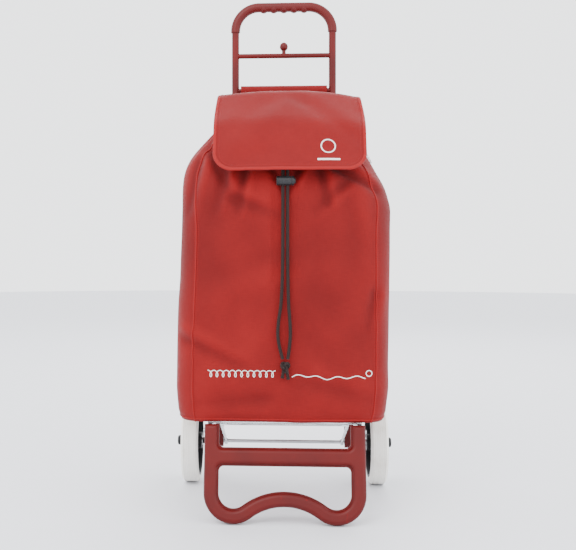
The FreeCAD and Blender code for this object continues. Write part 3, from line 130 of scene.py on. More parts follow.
class Wire:
    """The output of a shader node, with sums on it written as Python."""

    def __init__(self, sheet: NodeSheet, socket: bpy.types.NodeSocket) -> None:
        """Keeps the sheet that the node is on, and its socket."""
        self.sheet = sheet
        self.socket = socket

    def __add__(self, other: Wire | float) -> Wire:
        """The sum."""
        return self.sheet.math("ADD", self, other)

    def __radd__(self, other: float) -> Wire:
        """The sum, the number first."""
        return self.sheet.math("ADD", other, self)

    def __sub__(self, other: Wire | float) -> Wire:
        """The difference."""
        return self.sheet.math("SUBTRACT", self, other)

    def __rsub__(self, other: float) -> Wire:
        """The difference, the number first."""
        return self.sheet.math("SUBTRACT", other, self)

    def __mul__(self, other: Wire | float) -> Wire:
        """The product."""
        return self.sheet.math("MULTIPLY", self, other)

    def __rmul__(self, other: float) -> Wire:
        """The product, the number first."""
        return self.sheet.math("MULTIPLY", other, self)

    def __truediv__(self, other: Wire | float) -> Wire:
        """The quotient."""
        return self.sheet.math("DIVIDE", self, other)

    def __abs__(self) -> Wire:
        """The size without its sign."""
        return self.sheet.math("ABSOLUTE", self)

    def sine(self) -> Wire:
        """The sine of an angle in radians."""
        return self.sheet.math("SINE", self)

    def fraction(self) -> Wire:
        """What is left over the whole number below."""
        return self.sheet.math("FRACT", self)

    def over(self, limit: float) -> Wire:
        """1 where the value is above a limit, and 0 elsewhere."""
        return self.sheet.math("GREATER_THAN", self, limit)

    def ramp(self, low: float, high: float) -> Wire:
        """A smooth rise from 0 at low to 1 at high.

        Args:
            low: the value that gives 0.
            high: the value that gives 1; it may be the smaller of the two.

        Returns:
            The value between 0 and 1.
        """
        settings = {"interpolation_type": "SMOOTHSTEP"}
        values = {"Value": self, "From Min": low, "From Max": high}
        return self.sheet.wire(self.sheet.node("ShaderNodeMapRange", settings, values), "Result")


class NodeSheet:
    """One material and its nodes."""

    def __init__(self, name: str) -> None:
        """Makes an empty material under a name."""
        self.material = bpy.data.materials.new(name)
        self.material.use_nodes = True
        self.tree = self.material.node_tree
        self.tree.nodes.clear()

    def node(self, kind: str, settings: dict[str, Any] | None = None,
             values: dict[str | int, Any] | None = None) -> bpy.types.Node:
        """Adds a node.

        Args:
            kind: the node's type.
            settings: its own properties, set first; "stops" are a ramp's places and colours.
            values: a number, colour, vector or wire for each input, by name or number.

        Returns:
            The node.
        """
        made = self.tree.nodes.new(kind)
        for name, value in (settings or {}).items():
            if name != "stops":
                setattr(made, name, value)
                continue
            for index, (place, colour) in enumerate(value):
                known = made.color_ramp.elements
                stop = known[index] if index < len(known) else known.new(place)
                stop.position, stop.color = place, colour
        for name, value in (values or {}).items():
            if isinstance(value, Wire):
                self.tree.links.new(value.socket, made.inputs[name])
            else:
                made.inputs[name].default_value = value
        return made

    def wire(self, node: bpy.types.Node, output: str | int = 0) -> Wire:
        """One of a node's outputs."""
        return Wire(self, node.outputs[output])

    def math(self, operation: str, first: Wire | float, second: Wire | float = 0.0) -> Wire:
        """A sum of one or two values.

        Args:
            operation: the Math node's operation.
            first: the first value.
            second: the second value, where the operation has one.

        Returns:
            The result.
        """
        values = {0: first, 1: second}
        return self.wire(self.node("ShaderNodeMath", {"operation": operation}, values))

    def mix(self, share: Wire | float, first: Wire | Colour, second: Wire | Colour,
            way: str = "MIX") -> Wire:
        """A colour between two others.

        Args:
            share: how much of the second colour there is.
            first: the first colour.
            second: the second colour.
            way: how they are mixed.

        Returns:
            The mixed colour.
        """
        settings = {"data_type": "RGBA", "blend_type": way}
        return self.wire(self.node("ShaderNodeMix", settings, {0: share, 6: first, 7: second}), 2)

    def place(self) -> Wire:
        """The point's place on the object, in metres."""
        return self.wire(self.node("ShaderNodeTexCoord"), "Object")

    def cloth(self) -> Wire:
        """The point's place on the piece's own cloth map, in metres."""
        return self.wire(self.node("ShaderNodeUVMap", {"uv_map": CLOTH_MAP}))

    def split(self, vector: Wire) -> tuple[Wire, Wire, Wire]:
        """A vector's three parts."""
        node = self.node("ShaderNodeSeparateXYZ", values={0: vector})
        return self.wire(node, 0), self.wire(node, 1), self.wire(node, 2)

    def stretched(self, vector: Wire, scale: tuple[float, float, float]) -> Wire:
        """A vector scaled along each axis."""
        return self.wire(self.node("ShaderNodeMapping", values={"Vector": vector, "Scale": scale}))

    def noise(self, vector: Wire, scale: float, detail: float = 3.0, rough: float = 0.5) -> Wire:
        """Cloudy noise.

        Args:
            vector: the place that it is read at.
            scale: clouds a metre.
            detail: how many finer layers it has.
            rough: how strong the finer layers are.

        Returns:
            The value, near 0.5.
        """
        values = {"Vector": vector, "Scale": scale, "Detail": detail, "Roughness": rough}
        return self.wire(self.node("ShaderNodeTexNoise", values=values), "Fac")

    def attribute(self, name: str) -> Wire:
        """A number kept on the mesh's points."""
        return self.wire(self.node("ShaderNodeAttribute", {"attribute_name": name}), "Fac")

    def bump(self, height: Wire, strength: float, distance: float,
             below: Wire | None = None) -> Wire:
        """A bumped normal.

        Args:
            height: the height, from 0 to 1.
            strength: how much of it shows.
            distance: the height of 1, in metres.
            below: the normal that it is added to.

        Returns:
            The normal.
        """
        values: dict[str | int, Any] = {"Height": height, "Strength": strength,
                                        "Distance": distance}
        if below is not None:
            values["Normal"] = below
        return self.wire(self.node("ShaderNodeBump", values=values))

    def finish(self, **values: Any) -> bpy.types.Material:
        """Closes the sheet with its surface shader.

        Args:
            values: the shader's inputs, with _ for each space in their names.

        Returns:
            The material.
        """
        inputs = {name.replace("_", " "): value for name, value in values.items()}
        shader = self.node("ShaderNodeBsdfPrincipled", values=inputs)
        output = self.node("ShaderNodeOutputMaterial")
        self.tree.links.new(shader.outputs[0], output.inputs["Surface"])
        return self.material


# ---------------------------------------------------------------- finishes


@dataclass(frozen=True)
class WovenCloth:
    """Coated cloth of plain weave, with slubs, soft folds and rows of stitches."""

    name: str
    face: Tone
    deep: Tone
    thread: float = 0.0012
    stitch_inset: float = 0.0035
    stitch_length: float = 0.0042

    def make(self) -> bpy.types.Material:
        """Makes the material."""
        sheet = NodeSheet(self.name)
        cloth = sheet.cloth()
        across, along, _ = sheet.split(cloth)
        warp = (across * (math.pi / self.thread)).sine()
        weft = (along * (math.pi / self.thread)).sine()
        over = (warp * weft).over(0.0)
        weave = over * abs(warp) + (1.0 - over) * abs(weft)
        slub = sheet.noise(sheet.stretched(cloth, (60.0, 900.0, 1.0)), 1.0, 2.0)
        slub_up = sheet.noise(sheet.stretched(cloth, (900.0, 60.0, 1.0)), 1.0, 2.0)
        mottle = sheet.noise(cloth, 7.0, 4.0)
        fold = sheet.attribute("fold")
        gap = sheet.attribute("edge_gap")
        row = abs(gap - self.stitch_inset).ramp(0.0016, 0.0004)
        dash = (sheet.attribute("edge_run") / self.stitch_length).fraction()
        thread = row * (1.0 - dash.over(0.66))
        # Painted shade: pressed-in creases (fold below 0) turn darker and raised folds lighter; the
        # slubs, mottle and weave are the cloth's own tone.
        depth = (slub + slub_up) * 0.34 + mottle * 0.5 + weave * 0.22 - fold * 0.5
        base = sheet.mix(depth.ramp(0.25, 1.25), self.face.value, self.deep.value)
        # Painted shade: the cloth along the stitch row's sunken groove is darkened toward the deep
        # colour.
        groove_shaded = sheet.mix(row * 0.4, base, self.deep.value)
        colour = sheet.mix(thread * 0.75, groove_shaded, Tone.BINDING.value)
        rough = 0.62 + slub * 0.14 + mottle * 0.08 - fold * 0.06
        height = weave * 0.55 + (slub + slub_up) * 0.45
        woven = sheet.bump(height, 0.55, 0.0005)
        sewn = sheet.bump(thread - row * 0.9, 0.7, 0.0009, woven)
        return sheet.finish(Base_Color=colour, Roughness=rough, Normal=sewn, Sheen_Weight=0.05,
                            Sheen_Roughness=0.5, Specular_IOR_Level=0.2)


@dataclass(frozen=True)
class TapeCloth:
    """Narrow woven tape with ribs across it."""

    name: str
    face: Tone
    deep: Tone
    rib: float = 0.0011

    def make(self) -> bpy.types.Material:
        """Makes the material."""
        sheet = NodeSheet(self.name)
        cloth = sheet.cloth()
        along, across, _ = sheet.split(cloth)
        ribs = abs((along * (math.pi / self.rib)).sine())
        cord = abs((across * (math.pi / self.rib)).sine())
        worn = sheet.noise(cloth, 90.0, 3.0)
        # Painted shade: the tape turns darker in the valleys between its ribs; the worn noise adds
        # the tape's own random tone.
        shade = (1.0 - ribs) * 0.5 + worn * 0.6
        colour = sheet.mix(shade.ramp(0.2, 1.1), self.face.value, self.deep.value)
        normal = sheet.bump(ribs * 0.7 + cord * 0.3, 0.6, 0.0004)
        return sheet.finish(Base_Color=colour, Roughness=0.5 + worn * 0.2, Normal=normal,
                            Sheen_Weight=0.04, Sheen_Roughness=0.4,
                            Specular_IOR_Level=0.22)


@dataclass(frozen=True)
class BraidedCord:
    """Round braid: strands wound both ways, lighter flecks where they catch the light."""

    name: str
    strands: float = 8.0
    pitch: float = 0.0085

    def make(self) -> bpy.types.Material:
        """Makes the material."""
        sheet = NodeSheet(self.name)
        along, around, _ = sheet.split(sheet.cloth())
        rise = along * (1.0 / self.pitch)
        right = ((around + rise) * (math.pi * self.strands / 2)).sine()
        left = ((around - rise) * (math.pi * self.strands / 2)).sine()
        over = (right * left).over(0.0)
        braid = over * abs(right) + (1.0 - over) * abs(left)
        fuzz = sheet.noise(sheet.place(), 1400.0, 2.0)
        # Painted highlight: the strands' crests turn lighter, as if catching the light; the fuzz
        # noise adds lighter fibre flecks of the cord's own.
        shade = braid * 0.75 + fuzz * 0.5
        colour = sheet.mix(shade.ramp(0.35, 1.25), Tone.CORD.value, Tone.CORD_HIGHLIGHT_AND_FLECK.value)
        normal = sheet.bump(braid + fuzz * 0.2, 0.9, 0.0009)
        return sheet.finish(Base_Color=colour, Roughness=0.42 + fuzz * 0.25, Normal=normal,
                            Sheen_Weight=0.04, Sheen_Roughness=0.4,
                            Specular_IOR_Level=0.25)


@dataclass(frozen=True)
class Enamel:
    """Sprayed gloss paint: orange peel, a few thin scuffs and a clear coat."""

    name: str
    face: Tone
    worn: Tone
    gloss: float = 0.42
    coat: float = 0.06
    peel: float = 0.12
    grain: float = 420.0

    def make(self) -> bpy.types.Material:
        """Makes the material."""
        sheet = NodeSheet(self.name)
        place = sheet.place()
        cloud = sheet.noise(place, 16.0, 4.0)
        skin = sheet.noise(place, self.grain, 2.0)
        scuff = sheet.noise(sheet.stretched(place, (1.0, 1.0, 0.22)), 150.0, 5.0, 0.62)
        marks = scuff.ramp(0.66, 0.74)
        base = sheet.mix(cloud.ramp(0.3, 0.75), self.face.value, self.worn.value)
        colour = sheet.mix(marks * 0.35, base, Tone.BINDING.value)
        normal = sheet.bump(skin - marks * 0.4, self.peel, 0.0006)
        return sheet.finish(Base_Color=colour, Roughness=self.gloss + cloud * 0.1 + marks * 0.2,
                            Coat_Weight=self.coat - marks * 0.05, Coat_Roughness=0.2,
                            Normal=normal, Specular_IOR_Level=0.2)


@dataclass(frozen=True)
class MouldedPlastic:
    """Spark-textured moulded plastic with slight flow marks and rubbed patches."""

    name: str
    face: Tone
    worn: Tone
    rough: float = 0.42
    grain: float = 900.0
    depth: float = 0.35

    def make(self) -> bpy.types.Material:
        """Makes the material."""
        sheet = NodeSheet(self.name)
        place = sheet.place()
        spark = sheet.node("ShaderNodeTexVoronoi", {"feature": "SMOOTH_F1"},
                           {"Vector": place, "Scale": self.grain})
        pits = sheet.wire(spark, "Distance")
        flow = sheet.noise(sheet.stretched(place, (3.0, 3.0, 12.0)), 6.0, 4.0)
        rub = sheet.noise(place, 34.0, 5.0, 0.6).ramp(0.5, 0.78)
        colour = sheet.mix(flow * 0.45 + rub * 0.4, self.face.value, self.worn.value)
        normal = sheet.bump(pits, self.depth, 0.0003)
        return sheet.finish(Base_Color=colour, Roughness=self.rough + pits * 0.2 - rub * 0.1,
                            Normal=normal, Specular_IOR_Level=0.25)


@dataclass(frozen=True)
class PlatedSteel:
    """Bright plating over drawn wire: fine draw lines and a faint bloom."""

    name: str
    face: Tone
    rough: float = 0.2

    def make(self) -> bpy.types.Material:
        """Makes the material."""
        sheet = NodeSheet(self.name)
        place = sheet.place()
        lines = sheet.noise(sheet.stretched(place, (20.0, 900.0, 900.0)), 1.0, 2.0)
        bloom = sheet.noise(place, 40.0, 4.0)
        colour = sheet.mix(bloom.ramp(0.45, 0.85) * 0.4, self.face.value, Tone.BLACK_WORN.value)
        normal = sheet.bump(lines, 0.08, 0.0003)
        return sheet.finish(Base_Color=colour, Metallic=1.0, Normal=normal,
                            Roughness=self.rough + bloom * 0.14 + lines * 0.06)


@dataclass(frozen=True)
class TreadRubber:
    """Cream rubber with a fine cross-cut tread and dusty patches."""

    name: str
    face: Tone
    soiled: Tone
    lines: float = 900.0

    def make(self) -> bpy.types.Material:
        """Makes the material."""
        sheet = NodeSheet(self.name)
        place = sheet.place()
        grain = sheet.noise(place, 700.0, 3.0)
        dust = sheet.noise(place, 26.0, 5.0, 0.6)
        across, _, _ = sheet.split(place)
        ribs = abs((across * self.lines).sine())
        # Dusty patches from the noise, and darker in the grooves between the tread's ribs.
        dust_and_dark_grooves = dust.ramp(0.42, 0.8) * 0.55 + (1.0 - ribs) * 0.25
        colour = sheet.mix(dust_and_dark_grooves, self.face.value, self.soiled.value)
        normal = sheet.bump(ribs * 0.5 + grain * 0.5, 0.4, 0.0006)
        return sheet.finish(Base_Color=colour, Roughness=0.5 + dust * 0.2, Normal=normal,
                            Specular_IOR_Level=0.4)


class Finishes:
    """Every finish of the trolley, each made once."""

    def __init__(self) -> None:
        """Makes the materials."""
        cloth, deep = Tone.CLOTH, Tone.CLOTH_DEEP
        self.bag = WovenCloth("bag_cloth", cloth, deep).make()
        self.flap = WovenCloth("flap_cloth", cloth, deep, stitch_inset=0.0105).make()
        self.binding = TapeCloth("binding_tape", Tone.BINDING, cloth).make()
        self.label = TapeCloth("label_tape", Tone.LABEL, Tone.CREAM_SOILED, 0.0007).make()
        self.thread = TapeCloth("embroidery_thread", Tone.THREAD, Tone.CREAM_SOILED, 0.0009).make()
        self.cord = BraidedCord("braided_cord").make()
        self.enamel = Enamel("frame_enamel", Tone.ENAMEL, Tone.ENAMEL_WORN).make()
        self.foot = Enamel("foot_enamel", Tone.MOULDED, Tone.ENAMEL_WORN, 0.46, 0.05, 0.2,
                           700.0).make()
        self.grip = MouldedPlastic("grip_moulding", Tone.GRIP, Tone.ENAMEL_WORN, 0.36).make()
        self.moulded = MouldedPlastic("red_moulding", Tone.MOULDED, Tone.ENAMEL_WORN).make()
        self.black = MouldedPlastic("black_moulding", Tone.BLACK, Tone.BLACK_WORN, 0.4).make()
        self.lock = MouldedPlastic("lock_moulding", Tone.BLACK, Tone.BLACK_WORN, 0.22, 500.0,
                                   0.1).make()
        self.zinc = PlatedSteel("zinc_plate", Tone.ZINC, 0.3).make()
        self.bright = PlatedSteel("bright_plate", Tone.BRIGHT, 0.14).make()
        self.tyre = TreadRubber("cream_rubber", Tone.CREAM, Tone.CREAM_SOILED).make()
        self.board = MouldedPlastic("fibre_board", Tone.BOARD, Tone.BLACK_WORN, 0.7, 260.0,
                                    0.6).make()
        self.floor = MouldedPlastic("studio_floor", Tone.FLOOR, Tone.FLOOR, 0.55, 60.0,
                                    0.02).make()


# ---------------------------------------------------------------- the maker's bench


def read_table(table: Table, places: np.ndarray, blur: float = 0.010) -> np.ndarray:
    """Sizes read from a table at many places, its corners rounded off.

    Args:
        table: rising places, each with its size.
        places: where to read it.
        blur: how far each side the sizes are averaged.

    Returns:
        One size a place.
    """
    known, sizes = zip(*table)
    steps = np.linspace(-blur, blur, 9)
    return np.mean([np.interp(places + step, known, sizes) for step in steps], axis=0)


def cloud(points: np.ndarray, scale: Sequence[float], offset: float) -> np.ndarray:
    """Smooth noise, the same at each run.

    Args:
        points: the places, in metres, in the last axis.
        scale: waves a metre along each axis.
        offset: moves the pattern, so that two uses differ.

    Returns:
        One value a place, within about 1 of 0.
    """
    flat = (points * np.array(scale)).reshape(-1, 3) + offset
    values = [noise.noise(Vector(place)) for place in flat]
    return np.array(values).reshape(points.shape[:-1])


def unit(vectors: np.ndarray) -> np.ndarray:
    """The vectors with their lengths made 1."""
    return vectors / np.maximum(np.linalg.norm(vectors, axis=-1, keepdims=True), 1e-12)


def grid_normals(points: np.ndarray) -> np.ndarray:
    """The direction square to a grid of points, at each of them."""
    return unit(np.cross(np.gradient(points, axis=1), np.gradient(points, axis=0)))


def stroke(x: np.ndarray, z: np.ndarray, start: tuple[float, float], end: tuple[float, float],
           width: float) -> np.ndarray:
    """A soft crease along a line: -1 in its middle, a low ridge on its upper side.

    Args:
        x: the points' place across.
        z: the points' height.
        start: the crease's first end, across and up.
        end: its last end.
        width: its half width.

    Returns:
        The crease's height, from -1 to about 0.5.
    """
    run = np.array(end) - np.array(start)
    length = float(np.hypot(*run))
    run /= length
    dx, dz = x - start[0], z - start[1]
    along = (dx * run[0] + dz * run[1]) / length
    off = dz * run[0] - dx * run[1]
    beyond = np.maximum(0.0, np.abs(along - 0.5) - 0.5) * length
    taper = np.exp(-((beyond / (1.6 * width)) ** 2)) * (0.45 + 0.55 * np.clip(1 - along, 0, 1))
    shape = -np.exp(-((off / width) ** 2)) + 0.55 * np.exp(-(((off - 1.7 * width) / width) ** 2))
    return shape * taper


class Bench:
    """Blender's own modelling operators, each with its selection made first."""

    @staticmethod
    def clear() -> None:
        """Selects nothing."""
        bpy.ops.object.select_all(action="DESELECT")

    @staticmethod
    def taken(name: str) -> bpy.types.Object:
        """The primitive just added, under its name, with its place put into its mesh."""
        obj = bpy.context.active_object
        obj.name = name
        obj.data.name = name
        bpy.ops.object.transform_apply(location=True, rotation=True, scale=True)
        return obj

    @staticmethod
    @contextmanager
    def editing(obj: bpy.types.Object, mode: str = "FACE") -> Iterator[None]:
        """Opens a mesh for editing with nothing selected.

        Args:
            obj: the mesh's object.
            mode: VERT, EDGE or FACE.
        """
        Bench.clear()
        obj.select_set(True)
        bpy.context.view_layer.objects.active = obj
        bpy.ops.object.mode_set(mode="EDIT")
        bpy.ops.mesh.select_mode(type=mode)
        bpy.ops.mesh.select_all(action="DESELECT")
        yield
        bpy.ops.object.mode_set(mode="OBJECT")

    @staticmethod
    def pick_faces(obj: bpy.types.Object, test: Callable[[Vector, Vector], bool]) -> None:
        """Selects, of an open mesh, the faces whose middle and normal pass a test."""
        mesh = bmesh.from_edit_mesh(obj.data)
        for face in mesh.faces:
            face.select_set(test(face.calc_center_median(), face.normal))
        bmesh.update_edit_mesh(obj.data)

    @staticmethod
    def pick_edges(obj: bpy.types.Object, test: Callable[[Vector, float], bool]) -> None:
        """Selects, of an open mesh, the edges whose middle and fold angle pass a test."""
        mesh = bmesh.from_edit_mesh(obj.data)
        for edge in mesh.edges:
            middle = (edge.verts[0].co + edge.verts[1].co) / 2
            edge.select_set(test(middle, edge.calc_face_angle(0.0)))
        bmesh.update_edit_mesh(obj.data)

    @staticmethod
    def modify(obj: bpy.types.Object, kind: str, **settings: Any) -> None:
        """Adds a modifier and applies it.

        Args:
            obj: the object.
            kind: the modifier's type.
            settings: its properties.
        """
        Bench.clear()
        obj.select_set(True)
        bpy.context.view_layer.objects.active = obj
        made = obj.modifiers.new(kind.lower(), kind)
        for name, value in settings.items():
            setattr(made, name, value)
        bpy.ops.object.modifier_apply(modifier=made.name)

    @staticmethod
    def smooth(obj: bpy.types.Object, angle: float = 40.0) -> None:
        """Shades a mesh smooth, but for its sharp edges."""
        Bench.clear()
        obj.select_set(True)
        bpy.context.view_layer.objects.active = obj
        bpy.ops.object.shade_smooth_by_angle(angle=math.radians(angle))

    @staticmethod
    def cloth_grid(name: str, points: np.ndarray, across: np.ndarray, along: np.ndarray,
                   **numbers: np.ndarray) -> bpy.types.Object:
        """A sheet made from a grid primitive whose points are moved to their places.

        Args:
            name: the object's name.
            points: rows of points; a sheet that closes repeats its first column at its end.
            across: each point's place across on the cloth map.
            along: each point's place along on the cloth map.
            numbers: numbers kept on the points, by name.

        Returns:
            The object, its doubled points merged.
        """
        rows, cols = points.shape[:2]
        Bench.clear()
        bpy.ops.mesh.primitive_grid_add(x_subdivisions=cols - 1, y_subdivisions=rows - 1, size=2,
                                        calc_uvs=False)
        obj = Bench.taken(name)
        mesh = obj.data
        flat = np.array([vertex.co for vertex in mesh.vertices])
        col = np.rint((flat[:, 0] + 1) / 2 * (cols - 1)).astype(int)
        row = np.rint((flat[:, 1] + 1) / 2 * (rows - 1)).astype(int)
        mesh.vertices.foreach_set("co", points[row, col].astype(np.float32).ravel())
        corners = np.zeros(len(mesh.loops), np.int32)
        mesh.loops.foreach_get("vertex_index", corners)
        layer = mesh.uv_layers.new(name=CLOTH_MAP)
        spread = np.stack([across[row, col], along[row, col]], axis=1)[corners]
        layer.data.foreach_set("uv", spread.astype(np.float32).ravel())
        for title, values in numbers.items():
            kept = mesh.attributes.new(title, "FLOAT", "POINT")
            kept.data.foreach_set("value", values[row, col].astype(np.float32))
        mesh.update()
        with Bench.editing(obj, "VERT"):
            bpy.ops.mesh.select_all(action="SELECT")
            bpy.ops.mesh.remove_doubles(threshold=0.00002)
        return obj

    @staticmethod
    def close_rims(obj: bpy.types.Object) -> None:
        """Fills a mesh's open rims."""
        mesh = bmesh.new()
        mesh.from_mesh(obj.data)
        rims = [edge for edge in mesh.edges if edge.is_boundary]
        bmesh.ops.holes_fill(mesh, edges=rims, sides=0)
        mesh.to_mesh(obj.data)
        mesh.free()

    @staticmethod
    def cut(obj: bpy.types.Object, cutter: bpy.types.Object) -> None:
        """Cuts a mesh with another, which is then thrown away."""
        Bench.modify(obj, "BOOLEAN", operation="DIFFERENCE", object=cutter, solver="EXACT")
        bpy.data.objects.remove(cutter)

    @staticmethod
    def face_out(obj: bpy.types.Object) -> None:
        """Turns a closed or nearly closed mesh's faces outward."""
        with Bench.editing(obj):
            bpy.ops.mesh.select_all(action="SELECT")
            bpy.ops.mesh.normals_make_consistent(inside=False)

    @staticmethod
    def tube(name: str, path: np.ndarray, radius: float | np.ndarray, sides: int = 12,
             closed: bool = False, flat: float = 1.0,
             up: np.ndarray | None = None) -> bpy.types.Object:
        """A round or flattened tube along a path.

        Args:
            name: the object's name.
            path: the points along its middle.
            radius: its radius, or one at each point.
            sides: how many sides it has.
            closed: whether the path ends where it starts.
            flat: its height as a share of its width.
            up: for a flattened tube, the direction of its height at each point.

        Returns:
            The tube, its ends closed.
        """
        tangent = unit(np.gradient(path, axis=0))
        if closed:
            tangent[0] = tangent[-1] = unit(path[1] - path[-2])
        if up is None:
            side = np.zeros_like(path)
            guess = np.array([1.0, 0.0, 0.0]) if abs(tangent[0, 0]) < 0.9 else np.array([0, 0, 1.0])
            side[0] = unit(np.cross(tangent[0], guess))
            for index in range(1, len(path)):
                carried = side[index - 1] - tangent[index] * (side[index - 1] @ tangent[index])
                side[index] = unit(carried)
            rise = np.cross(tangent, side)
            if closed:
                slip = math.atan2(float(side[0] @ rise[-1]), float(side[0] @ side[-1]))
                turn = np.linspace(0, slip, len(path))[:, None]
                side, rise = (side * np.cos(turn) + rise * np.sin(turn),
                              rise * np.cos(turn) - side * np.sin(turn))
        else:
            rise = unit(up - tangent * np.sum(up * tangent, axis=1, keepdims=True))
            side = np.cross(rise, tangent)
        angles = np.linspace(0, 2 * math.pi, sides + 1)
        wide = np.broadcast_to(np.asarray(radius, float), (len(path),))[:, None, None]
        ring = (side[:, None] * np.cos(angles)[None, :, None]
                + rise[:, None] * (np.sin(angles) * flat)[None, :, None])
        points = path[:, None] + ring * wide
        lengths = np.concatenate([[0], np.cumsum(np.linalg.norm(np.diff(path, axis=0), axis=1))])
        along = np.repeat(lengths[:, None], sides + 1, axis=1)
        around = np.repeat(angles[None] / (2 * math.pi), len(path), axis=0)
        obj = Bench.cloth_grid(name, points, along, around)
        if not closed:
            Bench.close_rims(obj)
        Bench.face_out(obj)
        Bench.smooth(obj, 60.0)
        return obj


@dataclass
class Handover:
    """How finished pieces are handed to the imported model."""

    fold_axis: tuple[float, float, float] = (0.0, 1.0, 0.0)
    fold_anchor: tuple[float, float, float] = (0.0, AXLE_Y - 0.0125, 0.0)
    fold_keep: float = 0.06

    def give(self, obj: bpy.types.Object, material: bpy.types.Material, body: str,
             stands_for: Sequence[str] = (), folds: bool = True) -> bpy.types.Object:
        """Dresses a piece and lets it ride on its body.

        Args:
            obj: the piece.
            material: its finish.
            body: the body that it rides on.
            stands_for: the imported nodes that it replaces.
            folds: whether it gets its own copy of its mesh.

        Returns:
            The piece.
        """
        obj.data.materials.clear()
        obj.data.materials.append(material)
        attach(obj, body)
        if stands_for:
            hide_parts(*stands_for)
        if folds:
            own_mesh(obj)
        LOG.info("%s: %d points, rides on %s", obj.name, len(obj.data.vertices), body)
        return obj


# ---------------------------------------------------------------- studio


@dataclass
class Studio:
    """The camera, the lights and the pale floor."""

    lens: float = 57.06
    place: tuple[float, float, float] = (-0.0097, -1.798, 0.485)
    turn: float = 3.34
    shift: tuple[float, float] = (0.1078, -0.0448)

    def set_camera(self) -> None:
        """Places the camera level, straight before the trolley."""
        data = bpy.data.cameras.new("studio_camera")
        data.lens = self.lens
        data.sensor_width = 36.0
        data.shift_x, data.shift_y = self.shift
        camera = bpy.data.objects.new("studio_camera", data)
        camera.location = self.place
        camera.rotation_euler = (math.radians(90), 0.0, math.radians(self.turn))
        bpy.context.scene.collection.objects.link(camera)
        bpy.context.scene.camera = camera

    def area_light(self, name: str, place: Sequence[float], aim: Sequence[float], size: float,
                   power: float) -> None:
        """Adds a large soft lamp.

        Args:
            name: the lamp's name.
            place: where it stands.
            aim: the point that it faces.
            size: its side, in metres.
            power: its power, in watts.
        """
        data = bpy.data.lights.new(name, "AREA")
        data.shape = "SQUARE"
        data.size = size
        data.energy = power
        lamp = bpy.data.objects.new(name, data)
        lamp.location = place
        lamp.rotation_euler = (Vector(aim) - Vector(place)).to_track_quat("-Z", "Y").to_euler()
        bpy.context.scene.collection.objects.link(lamp)

    def light(self) -> None:
        """Sets the lamps and the even light all round."""
        self.area_light("key_lamp", (-1.2, -2.6, 2.9), (0.0, 0.0, 0.55), 1.8, 85.0)
        self.area_light("fill_lamp", (2.4, -2.0, 1.5), (0.0, 0.0, 0.5), 2.0, 25.0)
        self.area_light("back_lamp", (0.4, 2.6, 2.6), (0.0, 0.1, 0.5), 2.2, 60.0)
        world = bpy.data.worlds.new("studio_air")
        world.use_nodes = True
        backdrop = world.node_tree.nodes["Background"]
        backdrop.inputs[0].default_value = (0.93, 0.945, 0.965, 1.0)
        backdrop.inputs[1].default_value = 3.0
        bpy.context.scene.world = world

    def lay_floor(self, material: bpy.types.Material) -> None:
        """Lays the pale floor, a wide flat disc with an inset ring of faces."""
        Bench.clear()
        bpy.ops.mesh.primitive_circle_add(vertices=96, radius=9.0, fill_type="NGON",
                                          location=(0.0, 0.0, -0.0006))
        floor = Bench.taken("studio_floor")
        with Bench.editing(floor):
            bpy.ops.mesh.select_all(action="SELECT")
            bpy.ops.mesh.inset(thickness=0.5)
        floor.data.materials.append(material)


# ---------------------------------------------------------------- drawstring


def frame_body(node: str) -> str:
    """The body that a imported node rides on."""
    return frame["nodes"][node]["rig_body"]


@dataclass
class DrawstringRoute:
    """One free strand's given points, and the line that it follows."""

    side: str
    sign: int
    bulge: float
    ease: float
    half: float = CORD_HALF
    plane: float = CORD_REACH
    shift: float = CORD_SHIFT
    diameter: float = 0.006
    path: np.ndarray = field(default_factory=lambda: np.zeros((0, 3)))

    def points(self) -> list[Vector]:
        """The route's points: eyelet, shoulder, lock, bulge, knot."""
        table = (
            (self.half, self.plane - 0.084, 0.738),
            (self.half, self.plane - 0.062, 0.727),
            (self.half, self.plane - 0.034, 0.698),
            (self.half, self.plane - 0.010, 0.668),
            (self.half, self.plane, 0.638),
            (self.half, self.plane, 0.404),
            (self.bulge, self.plane - 0.001, 0.346),
            (self.ease, self.plane - 0.0015, 0.314),
            (self.half + 0.0002, self.plane - 0.001, 0.289),
        )
        return [Vector((self.shift + self.sign * across, AXLE_Y - reach, z))
                for across, reach, z in table]

    def lay(self) -> np.ndarray:
        """Draws the strand's smooth line and reads the points along it.

        Returns:
            The points, in order from the eyelet.
        """
        curve = bpy.data.curves.new(f"strand_line_{self.side}", "CURVE")
        curve.dimensions = "3D"
        spline = curve.splines.new("NURBS")
        hand = self.points()
        spline.points.add(len(hand) - 1)
        for point, place in zip(spline.points, hand):
            point.co = (*place, 1.0)
        spline.order_u = 3
        spline.use_endpoint_u = True
        spline.resolution_u = 16
        holder = bpy.data.objects.new(curve.name, curve)
        bpy.context.scene.collection.objects.link(holder)
        bpy.context.view_layer.update()
        line = bpy.data.meshes.new_from_object(holder)
        self.path = np.array([vertex.co for vertex in line.vertices], float)
        bpy.data.objects.remove(holder)
        bpy.data.meshes.remove(line)
        return self.path


